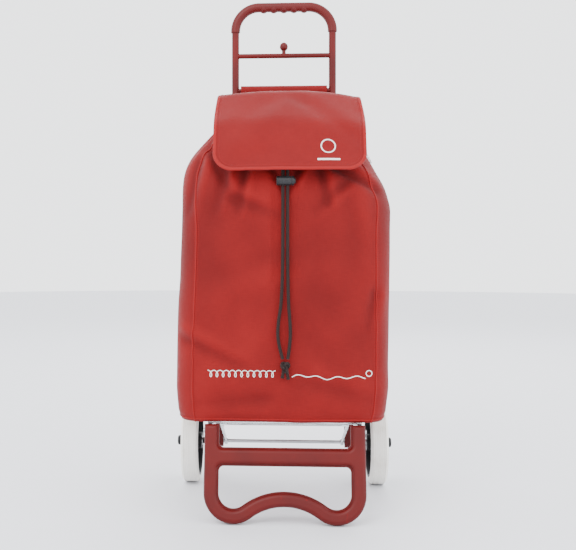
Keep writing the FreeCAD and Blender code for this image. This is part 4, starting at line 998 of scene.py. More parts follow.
@dataclass
class Drawstring:
    """The two free strands, their knot and the spring lock that they run through."""

    lock_height: float = 0.607
    lock_radius: float = 0.0085
    lock_half: float = 0.0155
    button_radius: float = 0.0055
    button_travel: float = 0.0025
    knot_height: float = 0.2755

    def strand_routes(self) -> list[DrawstringRoute]:
        """The left and the right strand."""
        return [DrawstringRoute("left", -1, 0.014, 0.012),
                DrawstringRoute("right", 1, 0.0095, 0.0085)]

    def build_knot(self) -> bpy.types.Object:
        """Ties the overhand knot, its two short tails with flared ends.

        Returns:
            The knot.
        """
        turn = np.linspace(0, 2 * math.pi, 97)
        wide, tall, deep = 0.0023, 0.0030, 0.0030
        loop = np.stack([wide * (np.sin(turn) + 2 * np.sin(2 * turn)),
                         deep * np.sin(3 * turn),
                         tall * (np.cos(turn) - 2 * np.cos(2 * turn))], axis=1)
        middle = np.array([CORD_SHIFT, AXLE_Y - 0.2825, self.knot_height])
        ties = [Bench.tube("drawstring_tie", loop + middle, 0.0028, 12, True)]
        for sign, fall in ((-1, 0.0), (1, 0.0022)):
            down = np.linspace(0, 1, 12)
            tail = np.stack([CORD_SHIFT + sign * (0.0028 + 0.0026 * down),
                             AXLE_Y - 0.2822 - 0.0012 * down,
                             self.knot_height - 0.004 - (0.0165 + fall) * down], axis=1)
            radius = 0.0027 + 0.0007 * np.clip((down - 0.75) / 0.25, 0, 1)
            ties.append(Bench.tube(f"drawstring_tail_{sign}", tail, radius, 12))
        Bench.clear()
        for tie in ties:
            tie.select_set(True)
        bpy.context.view_layer.objects.active = ties[0]
        bpy.ops.object.join()
        knot = ties[0]
        knot.name = knot.data.name = "knot"
        return knot

    def lock_blank(self, name: str, radius: float, low: float, high: float,
                   vertices: int) -> bpy.types.Object:
        """A cylinder along the lock's own line, with both its rims rounded.

        Args:
            name: its name.
            radius: its radius.
            low: its left end, from the lock's middle.
            high: its right end.
            vertices: how many sides it has.

        Returns:
            The cylinder.
        """
        Bench.clear()
        place = (CORD_SHIFT + (low + high) / 2, AXLE_Y - CORD_REACH, self.lock_height)
        bpy.ops.mesh.primitive_cylinder_add(vertices=vertices, radius=radius, depth=high - low,
                                            location=place, rotation=(0.0, math.pi / 2, 0.0))
        blank = Bench.taken(name)
        with Bench.editing(blank, "EDGE"):
            Bench.pick_edges(blank, lambda middle, angle: angle > 1.0)
            bpy.ops.mesh.bevel(offset=0.0011, segments=4, affect="EDGES")
        return blank

    def cut_ways(self, obj: bpy.types.Object, slack: float) -> None:
        """Cuts the two upright ways for the strands.

        Args:
            obj: the barrel or the button.
            slack: how much wider than the cord each way is.
        """
        for sign in (-1, 1):
            Bench.clear()
            place = (CORD_SHIFT + sign * CORD_HALF, AXLE_Y - CORD_REACH, self.lock_height)
            bpy.ops.mesh.primitive_cylinder_add(vertices=28, radius=0.0030 + slack, depth=0.05,
                                                location=place)
            cutter = Bench.taken("cord_way")
            Bench.cut(obj, cutter)

    def build_lock(self) -> tuple[bpy.types.Object, bpy.types.Object]:
        """Models the lock's barrel, with its grip rings, and the push button.

        Returns:
            The barrel and the button.
        """
        half = self.lock_half
        barrel = self.lock_blank("lock_barrel", self.lock_radius, -half, half, 56)
        mouth = self.lock_blank("lock_mouth", self.button_radius + 0.0003, -half + 0.0018,
                                half + 0.004, 48)
        Bench.cut(barrel, mouth)
        self.cut_ways(barrel, 0.0003)
        for offset in (-0.0125, 0.0115):
            Bench.clear()
            place = (CORD_SHIFT + offset, AXLE_Y - CORD_REACH, self.lock_height)
            bpy.ops.mesh.primitive_torus_add(location=place, rotation=(0.0, math.pi / 2, 0.0),
                                             major_segments=56, minor_segments=8,
                                             major_radius=self.lock_radius, minor_radius=0.0005)
            groove = Bench.taken("lock_groove")
            Bench.cut(barrel, groove)
        button = self.lock_blank("lock_push", self.button_radius, -0.0078,
                                 half + self.button_travel + 0.0003, 40)
        with Bench.editing(button):
            end = CORD_SHIFT + half + self.button_travel
            Bench.pick_faces(button, lambda middle, normal: normal.x > 0.99 and middle.x > end)
            bpy.ops.mesh.inset(thickness=0.0010)
            bpy.ops.transform.translate(value=(-0.0005, 0.0, 0.0))
        self.cut_ways(button, 0.0004)
        for piece in (barrel, button):
            Bench.smooth(piece, 35.0)
        return barrel, button

    def build_spring(self) -> bpy.types.Object:
        """Winds the lock's coil spring, from the barrel's closed end to the button.

        Returns:
            The spring.
        """
        share = np.linspace(0, 1, 121)
        turn = share * 6 * math.pi
        start, length, radius = CORD_SHIFT - 0.01305, 0.0046, 0.0048
        path = np.stack([start + length * share,
                         AXLE_Y - CORD_REACH + radius * np.cos(turn),
                         self.lock_height + radius * np.sin(turn)], axis=1)
        return Bench.tube("lock_spring", path, 0.00035, 8)

    def build(self, finishes: Finishes, hand: Handover) -> None:
        """Builds and hands over the strands, the knot and the lock.

        Args:
            finishes: the materials.
            hand: how pieces are handed over.
        """
        knot = hand.give(self.build_knot(), finishes.cord, "frame",
                         ["drawstring_knot"])
        barrel, button = self.build_lock()
        hand.give(barrel, finishes.lock, "cord_lock", ["cord_lock_barrel"])
        hand.give(button, finishes.lock, "lock_button", ["cord_lock_button"])
        hand.give(self.build_spring(), finishes.bright, frame_body("cord_lock_spring"),
                  ["cord_lock_spring"])
        for route in self.strand_routes():
            path = route.lay()
            strand = Bench.tube(f"strand_{route.side}", path, route.diameter / 2, 14)
            hand.give(strand, finishes.cord, "frame", [f"drawstring_{route.side}"])


# ---------------------------------------------------------------- bag


@dataclass
class BagForm:
    """The bag's sagging form as a grid: columns run round it from the back's middle."""

    floor: float = 0.1728
    top: float = 0.768
    half_cols: int = 150
    side_rows: int = 124
    front_seam: float = 0.842
    rear_seam: float = 0.90
    floor_scales: tuple[float, ...] = (0.02, 0.16, 0.32, 0.48, 0.64, 0.78, 0.89, 0.965)
    left: Table = ((0.172, 0.190), (0.180, 0.197), (0.230, 0.2005), (0.320, 0.1985),
                   (0.420, 0.1955), (0.520, 0.194), (0.585, 0.193), (0.610, 0.191),
                   (0.627, 0.189), (0.642, 0.185), (0.658, 0.177), (0.673, 0.164),
                   (0.689, 0.149), (0.705, 0.136), (0.725, 0.124), (0.748, 0.116),
                   (0.768, 0.117))
    right: Table = ((0.172, 0.179), (0.180, 0.186), (0.230, 0.191), (0.320, 0.1915),
                    (0.420, 0.1925), (0.520, 0.196), (0.563, 0.1975), (0.593, 0.190),
                    (0.608, 0.183), (0.623, 0.174), (0.638, 0.167), (0.653, 0.159),
                    (0.668, 0.150), (0.683, 0.142), (0.700, 0.132), (0.725, 0.122),
                    (0.748, 0.116), (0.768, 0.117))
    front: Table = ((0.172, 0.262), (0.183, 0.268), (0.230, 0.2740), (0.400, 0.2760),
                    (0.560, 0.2755), (0.605, 0.2725), (0.640, 0.2625), (0.668, 0.2545),
                    (0.689, 0.2455), (0.705, 0.2290), (0.727, 0.2050), (0.748, 0.1850),
                    (0.768, 0.1845))
    back: Table = ((0.172, 0.0140), (0.600, 0.0132), (0.660, 0.0155), (0.700, 0.0210),
                   (0.748, 0.0350), (0.768, 0.0350))
    square: Table = ((0.172, 7.0), (0.300, 6.2), (0.550, 5.2), (0.620, 4.2), (0.690, 3.1),
                     (0.748, 2.5), (0.768, 2.5))
    creases: tuple[tuple[float, float, float, float, float, float], ...] = (
        (-0.134, 0.668, -0.108, 0.606, 0.009, 0.0110),
        (0.083, 0.642, 0.166, 0.592, 0.009, 0.0110),
        (-0.034, 0.656, -0.004, 0.598, 0.008, 0.0085),
        (0.038, 0.656, 0.008, 0.596, 0.008, 0.0085),
        (-0.088, 0.574, -0.018, 0.548, 0.011, 0.0050),
        (-0.188, 0.324, -0.086, 0.277, 0.011, 0.0050),
        (0.162, 0.402, 0.152, 0.350, 0.009, 0.0045),
        (-0.066, 0.658, -0.084, 0.560, 0.008, 0.0070),
        (0.060, 0.655, 0.076, 0.570, 0.008, 0.0070),
        (-0.158, 0.645, -0.176, 0.560, 0.010, 0.0065),
        (-0.100, 0.655, -0.126, 0.560, 0.009, 0.0045),
        (0.104, 0.600, 0.060, 0.560, 0.009, 0.0040),
        (0.112, 0.600, 0.126, 0.500, 0.015, 0.0026),
        (-0.020, 0.470, -0.110, 0.440, 0.020, 0.0022),
        (0.060, 0.240, 0.150, 0.215, 0.014, 0.0026),
        (-0.040, 0.215, -0.150, 0.205, 0.013, 0.0024),
    )
    points: np.ndarray = field(default_factory=lambda: np.zeros((0, 0, 3)))
    normals: np.ndarray = field(default_factory=lambda: np.zeros((0, 0, 3)))
    run: np.ndarray = field(default_factory=lambda: np.zeros((0, 0)))
    fold: np.ndarray = field(default_factory=lambda: np.zeros((0, 0)))

    def section(self, height: float) -> np.ndarray:
        """One level of the bag, without its folds.

        Args:
            height: the level's height.

        Returns:
            Points round the level, from the back's middle past the left and back again.
        """
        at = np.array([height])
        sizes = [float(read_table(table, at)[0]) for table in
                 (self.left, self.right, self.front, self.back, self.square)]
        left, right, front, back, square = sizes
        middle, deep = (front + back) / 2, (front - back) / 2
        angle = np.linspace(0, math.pi, 1601)
        halves = []
        for half in (-left, right):
            across = half * np.abs(np.sin(angle)) ** (2 / square)
            reach = middle - deep * np.sign(np.cos(angle)) * np.abs(np.cos(angle)) ** (2 / square)
            line = np.stack([across, AXLE_Y - reach, np.full_like(angle, height)], axis=1)
            length = np.concatenate([[0], np.cumsum(np.linalg.norm(np.diff(line, axis=0), axis=1))])
            even = np.linspace(0, length[-1], self.half_cols + 1)
            halves.append(np.stack([np.interp(even, length, line[:, k]) for k in range(3)], axis=1))
        return np.concatenate([halves[0], halves[1][::-1][1:]])

    def shape(self) -> None:
        """Lays out every level, then presses in the folds, gathers and seams."""
        low = self.section(self.floor)
        centre = np.array([low[:, 0].mean(), (low[:, 1].min() + low[:, 1].max()) / 2, self.floor])
        rows = [centre + (low - centre) * scale for scale in self.floor_scales]
        heights = np.linspace(self.floor + 0.0006, self.top, self.side_rows)
        rows += [self.section(height) for height in heights]
        points = np.stack(rows)
        steps = np.linalg.norm(np.diff(points, axis=1), axis=2)
        self.run = np.concatenate([np.zeros((len(points), 1)), np.cumsum(steps, axis=1)], axis=1)
        normals = self.outward(points)
        height = self.press(points, normals)
        height[: len(self.floor_scales)] *= 0.25
        self.points = points + normals * height[..., None]
        self.clear_ways()
        self.normals = self.outward(self.points)
        self.fold = np.clip(height / 0.006, -1, 1)

    def outward(self, points: np.ndarray) -> np.ndarray:
        """The outward direction at each point of the closed grid.

        Args:
            points: the grid, its last column on its first.

        Returns:
            The unit directions.
        """
        normals = grid_normals(points)
        away = points - np.array([0.0, AXLE_Y - 0.14, 0.0])
        if np.mean(np.sum(normals * away, axis=2)[20:60]) < 0:
            normals = -normals
        normals[:, 0] = normals[:, -1] = unit(normals[:, 0] + normals[:, -1])
        return normals

    def press(self, points: np.ndarray, normals: np.ndarray) -> np.ndarray:
        """How far each point of the cloth stands out, or is pressed in.

        Args:
            points: the smooth form.
            normals: its outward directions.

        Returns:
            The heights, in metres.
        """
        x, z = points[..., 0], points[..., 2]
        facing = np.clip((-normals[..., 1] - 0.25) / 0.5, 0, 1)
        height = np.zeros(x.shape)
        for x0, z0, x1, z1, width, depth in self.creases:
            height += depth * stroke(x, z, (x0, z0), (x1, z1), width) * facing
        share = np.linspace(0, 2 * math.pi, x.shape[1])[None]
        sway = 0.9 * np.sin(3 * share + 1.0) + 0.6 * np.sin(5 * share + 2.0)
        gather = np.clip((z - 0.628) / 0.115, 0, 1) ** 1.4
        pleats = 1 - 2 * np.abs(np.sin(15 * share + sway + (z - 0.75) * 9.0))
        drape = np.clip((z - 0.40) / 0.24, 0, 1) * np.clip((0.73 - z) / 0.08, 0, 1)
        height += 0.0042 * gather * pleats
        height += 0.0030 * drape * cloud(points, (15.0, 15.0, 4.2), 3.1)
        height += 0.0032 * cloud(points, (6.5, 6.5, 5.0), 11.7)
        height += 0.0013 * cloud(points, (24.0, 24.0, 17.0), 23.9)
        channel = np.exp(-(((z - 0.757) / 0.0055) ** 2))
        stitched = np.exp(-(((z - 0.7465) / 0.0016) ** 2)) + np.exp(-(((z - 0.7655) / 0.0012) ** 2))
        height += 0.0026 * channel - 0.0012 * stitched
        rear = np.clip((normals[..., 1] - 0.3) / 0.4, 0, 1)
        return height * (1 - 0.85 * rear)

    def clear_ways(self) -> None:
        """Keeps the cloth behind the strands, ahead of the yoke and above the rods."""
        x, z = self.points[..., 0], self.points[..., 2]
        near = np.clip(1 - np.maximum(np.abs(x - 0.001) - 0.022, 0) / 0.02, 0, 1)
        level = np.clip((z - 0.235) / 0.02, 0, 1)
        path_z = [0.24, 0.289, 0.415, 0.440, 0.60, 0.638, 0.668, 0.698, 0.727, 0.738]
        path_reach = [0.2742, 0.2768, 0.2768, 0.2738, 0.2738, 0.2738, 0.2635, 0.2380, 0.2110,
                      0.1935]
        limit = np.interp(z, path_z, path_reach)
        most = np.where(near * level > 0, 0.289 + (limit - 0.289) * near * level, 0.289)
        reach = np.clip(AXLE_Y - self.points[..., 1], 0.0128, most)
        self.points[..., 1] = AXLE_Y - reach
        self.points[..., 2] = np.maximum(z, 0.1724)

    def seam_columns(self) -> np.ndarray:
        """For each level, the columns of the four upright seams, as decimals."""
        places = []
        turn = self.half_cols
        for row in self.points:
            left, right = row[: turn + 1, 0], row[turn:, 0]
            wide_left, wide_right = -left.min(), right.max()
            front_left = turn // 2 + np.argmax(left[turn // 2:] > -self.front_seam * wide_left)
            front_right = turn + int(np.argmax(right > self.front_seam * wide_right))
            back_left = int(np.argmax(left < -self.rear_seam * wide_left))
            back_right = 2 * turn - back_left
            places.append((back_left, front_left, front_right, back_right))
        columns = np.array(places, float)
        span = 9
        kernel = np.ones(span) / span
        padded = np.pad(columns, ((span // 2, span // 2), (0, 0)), mode="edge")
        return np.stack([np.convolve(padded[:, k], kernel, "valid") for k in range(4)], axis=1)

    def at(self, values: np.ndarray, row: float, col: float) -> np.ndarray:
        """A grid of values, read between its points."""
        r, c = (int(min(max(place, 0), count - 1.001))
                for place, count in zip((row, col), values.shape))
        s, t = row - r, col - c
        return ((1 - s) * (1 - t) * values[r, c] + s * (1 - t) * values[r + 1, c]
                + (1 - s) * t * values[r, c + 1] + s * t * values[r + 1, c + 1])

    def row_of(self, height: float) -> float:
        """The level, as a decimal, at a height of the bag's sides."""
        start = len(self.floor_scales)
        span = self.top - self.floor - 0.0006
        return start + (height - self.floor - 0.0006) / span * (self.side_rows - 1)

    def front_point(self, x: float, height: float) -> tuple[np.ndarray, np.ndarray]:
        """The point of the front at a place across and a height.

        Args:
            x: the place across.
            height: the height.

        Returns:
            The point and the outward direction there.
        """
        row = self.row_of(height)
        turn = self.half_cols
        middle = self.points[int(round(row)), turn // 2: turn + turn // 2 + 1, 0]
        rising = np.maximum.accumulate(middle)
        col = turn // 2 + float(np.interp(x, rising, np.arange(len(rising))))
        return self.at(self.points, row, col), unit(self.at(self.normals, row, col))


@dataclass
class Bag:
    """The fabric bag: shell, seam piping, yoke with its hem, eyelet, neck cord and label."""

    form: BagForm
    cloth_thickness: float = 0.0014
    piping_radius: float = 0.0012
    neck_stitch: float = 0.7440
    hanger_rod: float = 0.816

    def build_shell(self) -> bpy.types.Object:
        """Builds the shell from its floor to its open mouth.

        Returns:
            The shell.
        """
        form = self.form
        columns = form.seam_columns()
        gap = np.full(form.run.shape, 1.0)
        for seam in range(4):
            place = np.array([form.at(form.run, row, columns[row, seam])
                              for row in range(len(form.points))])
            gap = np.minimum(gap, np.abs(form.run - place[:, None]))
        gap = np.minimum(gap, np.abs(form.points[..., 2] - self.neck_stitch))
        along = np.concatenate([np.zeros((1, form.points.shape[1])), np.cumsum(
            np.linalg.norm(np.diff(form.points, axis=0), axis=2), axis=0)])
        along = np.repeat(along.mean(axis=1, keepdims=True), form.points.shape[1], axis=1)
        centred = form.run - form.run[:, form.half_cols: form.half_cols + 1]
        shell = Bench.cloth_grid("bag_shell", form.points, centred, along, fold=form.fold,
                                 edge_gap=gap, edge_run=along)
        Bench.face_out(shell)
        Bench.modify(shell, "SOLIDIFY", thickness=self.cloth_thickness, offset=-1.0,
                     use_even_offset=False)
        Bench.smooth(shell, 180.0)
        return shell

    def build_piping(self, seam: int, name: str) -> bpy.types.Object:
        """Runs the corded piping up one of the bag's upright seams.

        Args:
            seam: the seam's number.
            name: the piece's name.

        Returns:
            The piping.
        """
        form = self.form
        columns = form.seam_columns()
        first = len(form.floor_scales)
        last = int(form.row_of(0.742))
        line = []
        for row in range(first, last):
            point = form.at(form.points, row, columns[row, seam])
            line.append(point + unit(form.at(form.normals, row, columns[row, seam])) * 0.0005)
        return Bench.tube(name, np.array(line), self.piping_radius, 8)

    def build_base_piping(self) -> bpy.types.Object:
        """Runs the piping round the seam between the base and the sides.

        Returns:
            The piping.
        """
        row = int(self.form.row_of(0.1795))
        line = self.form.points[row] + self.form.normals[row] * 0.0004
        line[-1] = line[0]
        line[:, 1] = np.minimum(line[:, 1], AXLE_Y - 0.0145)
        return Bench.tube("base_piping", line, self.piping_radius, 8, True)

    def build_yoke(self) -> bpy.types.Object:
        """Builds the back's upper part: a tapering sheet, hemmed round the hanger rod.

        Returns:
            The yoke.
        """
        rod = self.hanger_rod
        angles = np.radians(np.linspace(-60, 280, 41))
        hem = np.stack([0.0098 * np.cos(angles), rod + 0.0098 * np.sin(angles)], axis=1)
        rise = np.linspace(0.603, rod - 0.0105, 40)
        panel = np.stack([np.full(40, 0.0106), rise], axis=1)
        tail = np.stack([np.full(6, 0.0086), np.linspace(rod - 0.012, rod - 0.026, 6)], axis=1)
        profile = np.concatenate([panel, hem, tail])
        width = np.interp(profile[:, 1], [0.603, 0.79], [0.128, 0.0895])
        width[len(panel):] = 0.0895
        share = np.linspace(-1, 1, 61)
        x = width[:, None] * share[None]
        ripple = 0.0007 * np.sin(x * 120) * (profile[:, 1] < 0.79)[:, None]
        points = np.stack([x, AXLE_Y - profile[:, :1] - ripple * 0.6,
                           np.repeat(profile[:, 1:], 61, axis=1)], axis=2)
        steps = np.linalg.norm(np.diff(profile, axis=0), axis=1)
        along = np.repeat(np.concatenate([[0], np.cumsum(steps)])[:, None], 61, axis=1)
        gap = np.minimum(width[:, None] - np.abs(x), np.abs(along - 0.188))
        yoke = Bench.cloth_grid("bag_yoke_cloth", points, x, along, fold=np.zeros_like(x),
                                edge_gap=gap, edge_run=along + np.abs(x))
        Bench.modify(yoke, "SOLIDIFY", thickness=0.0014, offset=0.0)
        Bench.smooth(yoke, 180.0)
        return yoke

    def build_eyelet(self) -> bpy.types.Object:
        """Turns the rolled metal eyelet that the strands leave by.

        Returns:
            The eyelet.
        """
        Bench.clear()
        middle, normal = self.form.front_point(CORD_SHIFT, 0.7345)
        bpy.ops.mesh.primitive_cylinder_add(vertices=48, radius=0.0112, depth=0.0012)
        eyelet = Bench.taken("eyelet_ring")
        with Bench.editing(eyelet):
            Bench.pick_faces(eyelet, lambda place, facing: abs(facing.z) > 0.9)
            bpy.ops.mesh.inset(thickness=0.0036)
        with Bench.editing(eyelet):
            Bench.pick_faces(eyelet, lambda place, facing: abs(facing.z) > 0.9
                             and place.length < 0.004)
            bpy.ops.mesh.bridge_edge_loops()
        with Bench.editing(eyelet, "EDGE"):
            Bench.pick_edges(eyelet, lambda place, angle: angle > 1.0)
            bpy.ops.mesh.bevel(offset=0.00045, segments=3, affect="EDGES")
        turn = Vector((0, 0, 1)).rotation_difference(Vector(normal)).to_matrix().to_4x4()
        shift = Matrix.Translation(Vector(middle) + Vector(normal) * 0.0004)
        eyelet.data.transform(shift @ turn)
        Bench.smooth(eyelet, 50.0)
        return eyelet

    def build_neck_cord(self) -> bpy.types.Object:
        """Lays the drawstring's loop inside the neck's channel.

        Returns:
            The loop.
        """
        row = int(round(self.form.row_of(0.757)))
        line = self.form.points[row][:-1]
        soft = np.mean([np.roll(line, shift, axis=0) for shift in range(-9, 10)], axis=0)
        centre = soft.mean(axis=0)
        inward = unit((centre - soft) * np.array([1, 1, 0]))
        ring = soft + inward * 0.0088
        ring = np.concatenate([ring[::3], ring[:1]])
        return Bench.tube("neck_drawcord", ring, 0.003, 10, True)

    def build_label(self) -> bpy.types.Object:
        """Sews the small folded tape into the right shoulder's seam.

        Returns:
            The label.
        """
        form = self.form
        rows, cols = 17, 13
        points = np.zeros((rows, cols, 3))
        for r in range(rows):
            height = 0.652 + 0.020 * r / (rows - 1)
            level = form.points[int(round(form.row_of(height)))]
            edge = level[np.argmax(level[:, 0])]
            for c in range(cols):
                out = 0.0132 * c / (cols - 1)
                curl = 0.0016 * math.sin(2.4 * c / (cols - 1)) + 0.0005 * math.sin(r * 0.4)
                points[r, c] = (edge[0] - 0.0006 + out, edge[1] - curl, height + 0.05 * out)
        across = np.repeat(np.linspace(0, 0.0132, cols)[None], rows, axis=0)
        along = np.repeat(np.linspace(0, 0.020, rows)[:, None], cols, axis=1)
        label = Bench.cloth_grid("care_tape", points, along, across)
        Bench.modify(label, "SOLIDIFY", thickness=0.0007, offset=0.0)
        Bench.smooth(label, 60.0)
        return label

    def build_stitchwork(self) -> list[bpy.types.Object]:
        """Works the plain ornament low on the front: loops, a waved line and a ring.

        Returns:
            The ornament's two lines and its end ring.
        """
        turn = np.linspace(0, 1, 420)
        loops = np.stack([-0.138 + 0.122 * turn + 0.0040 * np.sin(turn * 22 * math.pi),
                          0.2615 + 0.0058 * np.cos(turn * 22 * math.pi)], axis=1)
        share = np.linspace(0, 1, 240)
        wave = np.stack([0.013 + 0.131 * share,
                         0.2560 + 0.0035 * np.sin(share * 9.0) * (1 - share)
                         + 0.0022 * np.sin(share * 23.0)], axis=1)
        spin = np.linspace(0, 2 * math.pi, 60)
        ring = np.stack([0.1505 + 0.0052 * np.cos(spin), 0.2630 + 0.0052 * np.sin(spin)], axis=1)
        made = []
        for name, line, radius in (("ornament_loops", loops, 0.00065),
                                   ("ornament_wave", wave, 0.00075),
                                   ("ornament_ring", ring, 0.00075)):
            found = [self.form.front_point(x, z) for x, z in line]
            path = np.array([point + normal * 0.0002 for point, normal in found])
            up = np.array([normal for _, normal in found])
            made.append(Bench.tube(name, path, radius, 6, False, 0.55, up))
        return made

    def build(self, finishes: Finishes, hand: Handover) -> None:
        """Builds and hands over the whole bag.

        Args:
            finishes: the materials.
            hand: how pieces are handed over.
        """
        self.form.shape()
        panels = [name for name in frame["nodes"]
                  if name.startswith("bag_") and name != "bag_yoke"]
        hand.give(self.build_shell(), finishes.bag, "frame", panels)
        for seam, name in enumerate(("piping_rear_left", "piping_front_left",
                                     "piping_front_right", "piping_rear_right")):
            hand.give(self.build_piping(seam, name), finishes.binding, "frame")
        hand.give(self.build_base_piping(), finishes.binding, "frame")
        hand.give(self.build_yoke(), finishes.bag, "frame", ["bag_yoke"], False)
        hand.give(self.build_eyelet(), finishes.zinc, "frame", ["neck_eyelet"])
        hand.give(self.build_neck_cord(), finishes.cord, "frame", ["neck_cord"])
        hand.give(self.build_label(), finishes.label, "frame", ["care_label"])
        for line in self.build_stitchwork():
            hand.give(line, finishes.thread, "frame")


# ---------------------------------------------------------------- flap


@dataclass
class Flap:
    """The flap: one continuous sheet over the mouth and down the front, bound at its edge."""

    spine: tuple[tuple[float, float], ...] = ((0.0155, 0.810), (0.1895, 0.784), (0.2555, 0.7205),
                                              (0.2965, 0.625))
    bends: tuple[float, float] = (0.034, 0.070)
    left_edge: Table = ((0.0, -0.1235), (0.17, -0.1255), (0.23, -0.1290), (0.40, -0.1285))
    right_edge: Table = ((0.0, 0.1400), (0.17, 0.1420), (0.23, 0.1470), (0.40, 0.1455))
    corner: float = 0.036
    thickness: float = 0.0018
    binding: float = 0.0058
    line: np.ndarray = field(default_factory=lambda: np.zeros((0, 2)))
    length: float = 0.0

    def draw_spine(self) -> None:
        """Samples the middle line, with its two corners rounded, at even steps."""
        points = [np.array(point) for point in self.spine]
        dense = [points[0]]
        for before, corner, after, radius in zip(points, points[1:], points[2:], self.bends):
            come, go = unit(corner - before), unit(after - corner)
            turn = math.acos(float(come @ go))
            back_off = radius * math.tan(turn / 2)
            start, end = corner - come * back_off, corner + go * back_off
            for share in np.linspace(0, 1, 24):
                dense.append((1 - share) ** 2 * start + 2 * share * (1 - share) * corner
                             + share ** 2 * end)
        dense.append(points[-1])
        path = np.array(dense)
        steps = np.concatenate([[0], np.cumsum(np.linalg.norm(np.diff(path, axis=0), axis=1))])
        self.length = float(steps[-1])
        even = np.linspace(0, self.length, 400)
        self.line = np.stack([np.interp(even, steps, path[:, k]) for k in range(2)], axis=1)

    def edges(self, v: np.ndarray) -> tuple[np.ndarray, np.ndarray]:
        """The left and the right edge at a distance down the flap."""
        return read_table(self.left_edge, v, 0.02), read_table(self.right_edge, v, 0.02)

    def surface(self, x: np.ndarray, v: np.ndarray) -> np.ndarray:
        """Points of the flap's middle surface.

        Args:
            x: the place across.
            v: the distance down from the back seam.

        Returns:
            The points.
        """
        spots = np.linspace(0, self.length, len(self.line))
        reach = np.interp(v, spots, self.line[:, 0])
        z = np.interp(v, spots, self.line[:, 1])
        middle, side = 0.008, 0.137
        off = (x - middle) / side
        down = np.clip(v / self.length, 0, 1)
        droop = np.where(off < 0, 0.0095, 0.0160) * np.abs(off) ** 2.4
        keep = np.clip((1 - down) / 0.42, 0, 1)
        rear = np.clip(1 - v / 0.05, 0, 1)
        z = z - droop * keep * keep * (3 - 2 * keep) - 0.006 * rear * np.abs(off) ** 2
        wrap = 0.011 * np.abs(off) ** 2.6 * np.clip((down - 0.30) / 0.3, 0, 1)
        lip = 0.0030 * np.clip((down - 0.86) / 0.14, 0, 1) ** 2
        belly = 0.0030 * np.sin(math.pi * np.clip((down - 0.45) / 0.55, 0, 1))
        reach = reach - wrap + belly + lip
        flat = np.stack([x, AXLE_Y - reach, z], axis=-1)
        front = np.clip((down - 0.42) / 0.16, 0, 1)
        press = 0.0034 * stroke(x, z, (0.026, 0.768), (0.120, 0.690), 0.014)
        press += 0.0022 * stroke(x, z, (-0.030, 0.762), (-0.105, 0.700), 0.018)
        press += 0.0016 * stroke(x, z, (-0.070, 0.640), (0.010, 0.668), 0.020)
        press = press * front + 0.0022 * cloud(flat, (9.0, 9.0, 9.0), 5.5)
        press += 0.0009 * cloud(flat, (30.0, 30.0, 22.0), 41.0)
        lean = np.stack([np.interp(v, spots, np.gradient(self.line[:, 1], spots)),
                         -np.interp(v, spots, np.gradient(self.line[:, 0], spots))], axis=-1)
        flat[..., 1] += press * lean[..., 0]
        flat[..., 2] += press * -lean[..., 1]
        return flat

    def normal(self, x: np.ndarray, v: np.ndarray) -> np.ndarray:
        """The outward direction of the flap's surface."""
        step = 0.0015
        across = self.surface(x + step, v) - self.surface(x - step, v)
        down = self.surface(x, v + step) - self.surface(x, v - step)
        return unit(np.cross(down, across))

    def build_sheet(self) -> bpy.types.Object:
        """Builds the cloth of the flap.

        Returns:
            The sheet.
        """
        rows, cols = 121, 107
        share = np.linspace(0, 1, rows)[:, None] * np.ones((1, cols))
        across = np.ones((rows, 1)) * np.linspace(0, 1, cols)[None]
        v = share * self.length
        for _ in range(3):
            left, right = self.edges(v)
            x = left + (right - left) * across
            side = np.minimum(x - left, right - x)
            inside = np.clip(self.corner - side, 0, self.corner)
            reach = self.length - self.corner + np.sqrt(self.corner ** 2 - inside ** 2)
            v = share * reach
        points = self.surface(x, v)
        into = self.length - v
        far = np.hypot(self.corner - side, self.corner - into)
        rounded = (side < self.corner) & (into < self.corner)
        gap = np.where(rounded, self.corner - far, np.minimum(side, into))
        angle = np.arctan2(np.clip(self.corner - into, 0, 1), np.clip(self.corner - side, 1e-6, 1))
        run = np.where(rounded, self.length - self.corner + self.corner * angle,
                       np.where(side < into, v, self.length - self.corner + 0.0565 + np.abs(x)))
        sheet = Bench.cloth_grid("flap_sheet", points, x, v, fold=np.zeros_like(x),
                                 edge_gap=gap, edge_run=run)
        outward = sheet.data.polygons[len(sheet.data.polygons) // 2].normal
        if outward.z - outward.y < 0:
            with Bench.editing(sheet):
                bpy.ops.mesh.select_all(action="SELECT")
                bpy.ops.mesh.flip_normals()
        Bench.modify(sheet, "SOLIDIFY", thickness=self.thickness, offset=0.0)
        Bench.smooth(sheet, 180.0)
        return sheet

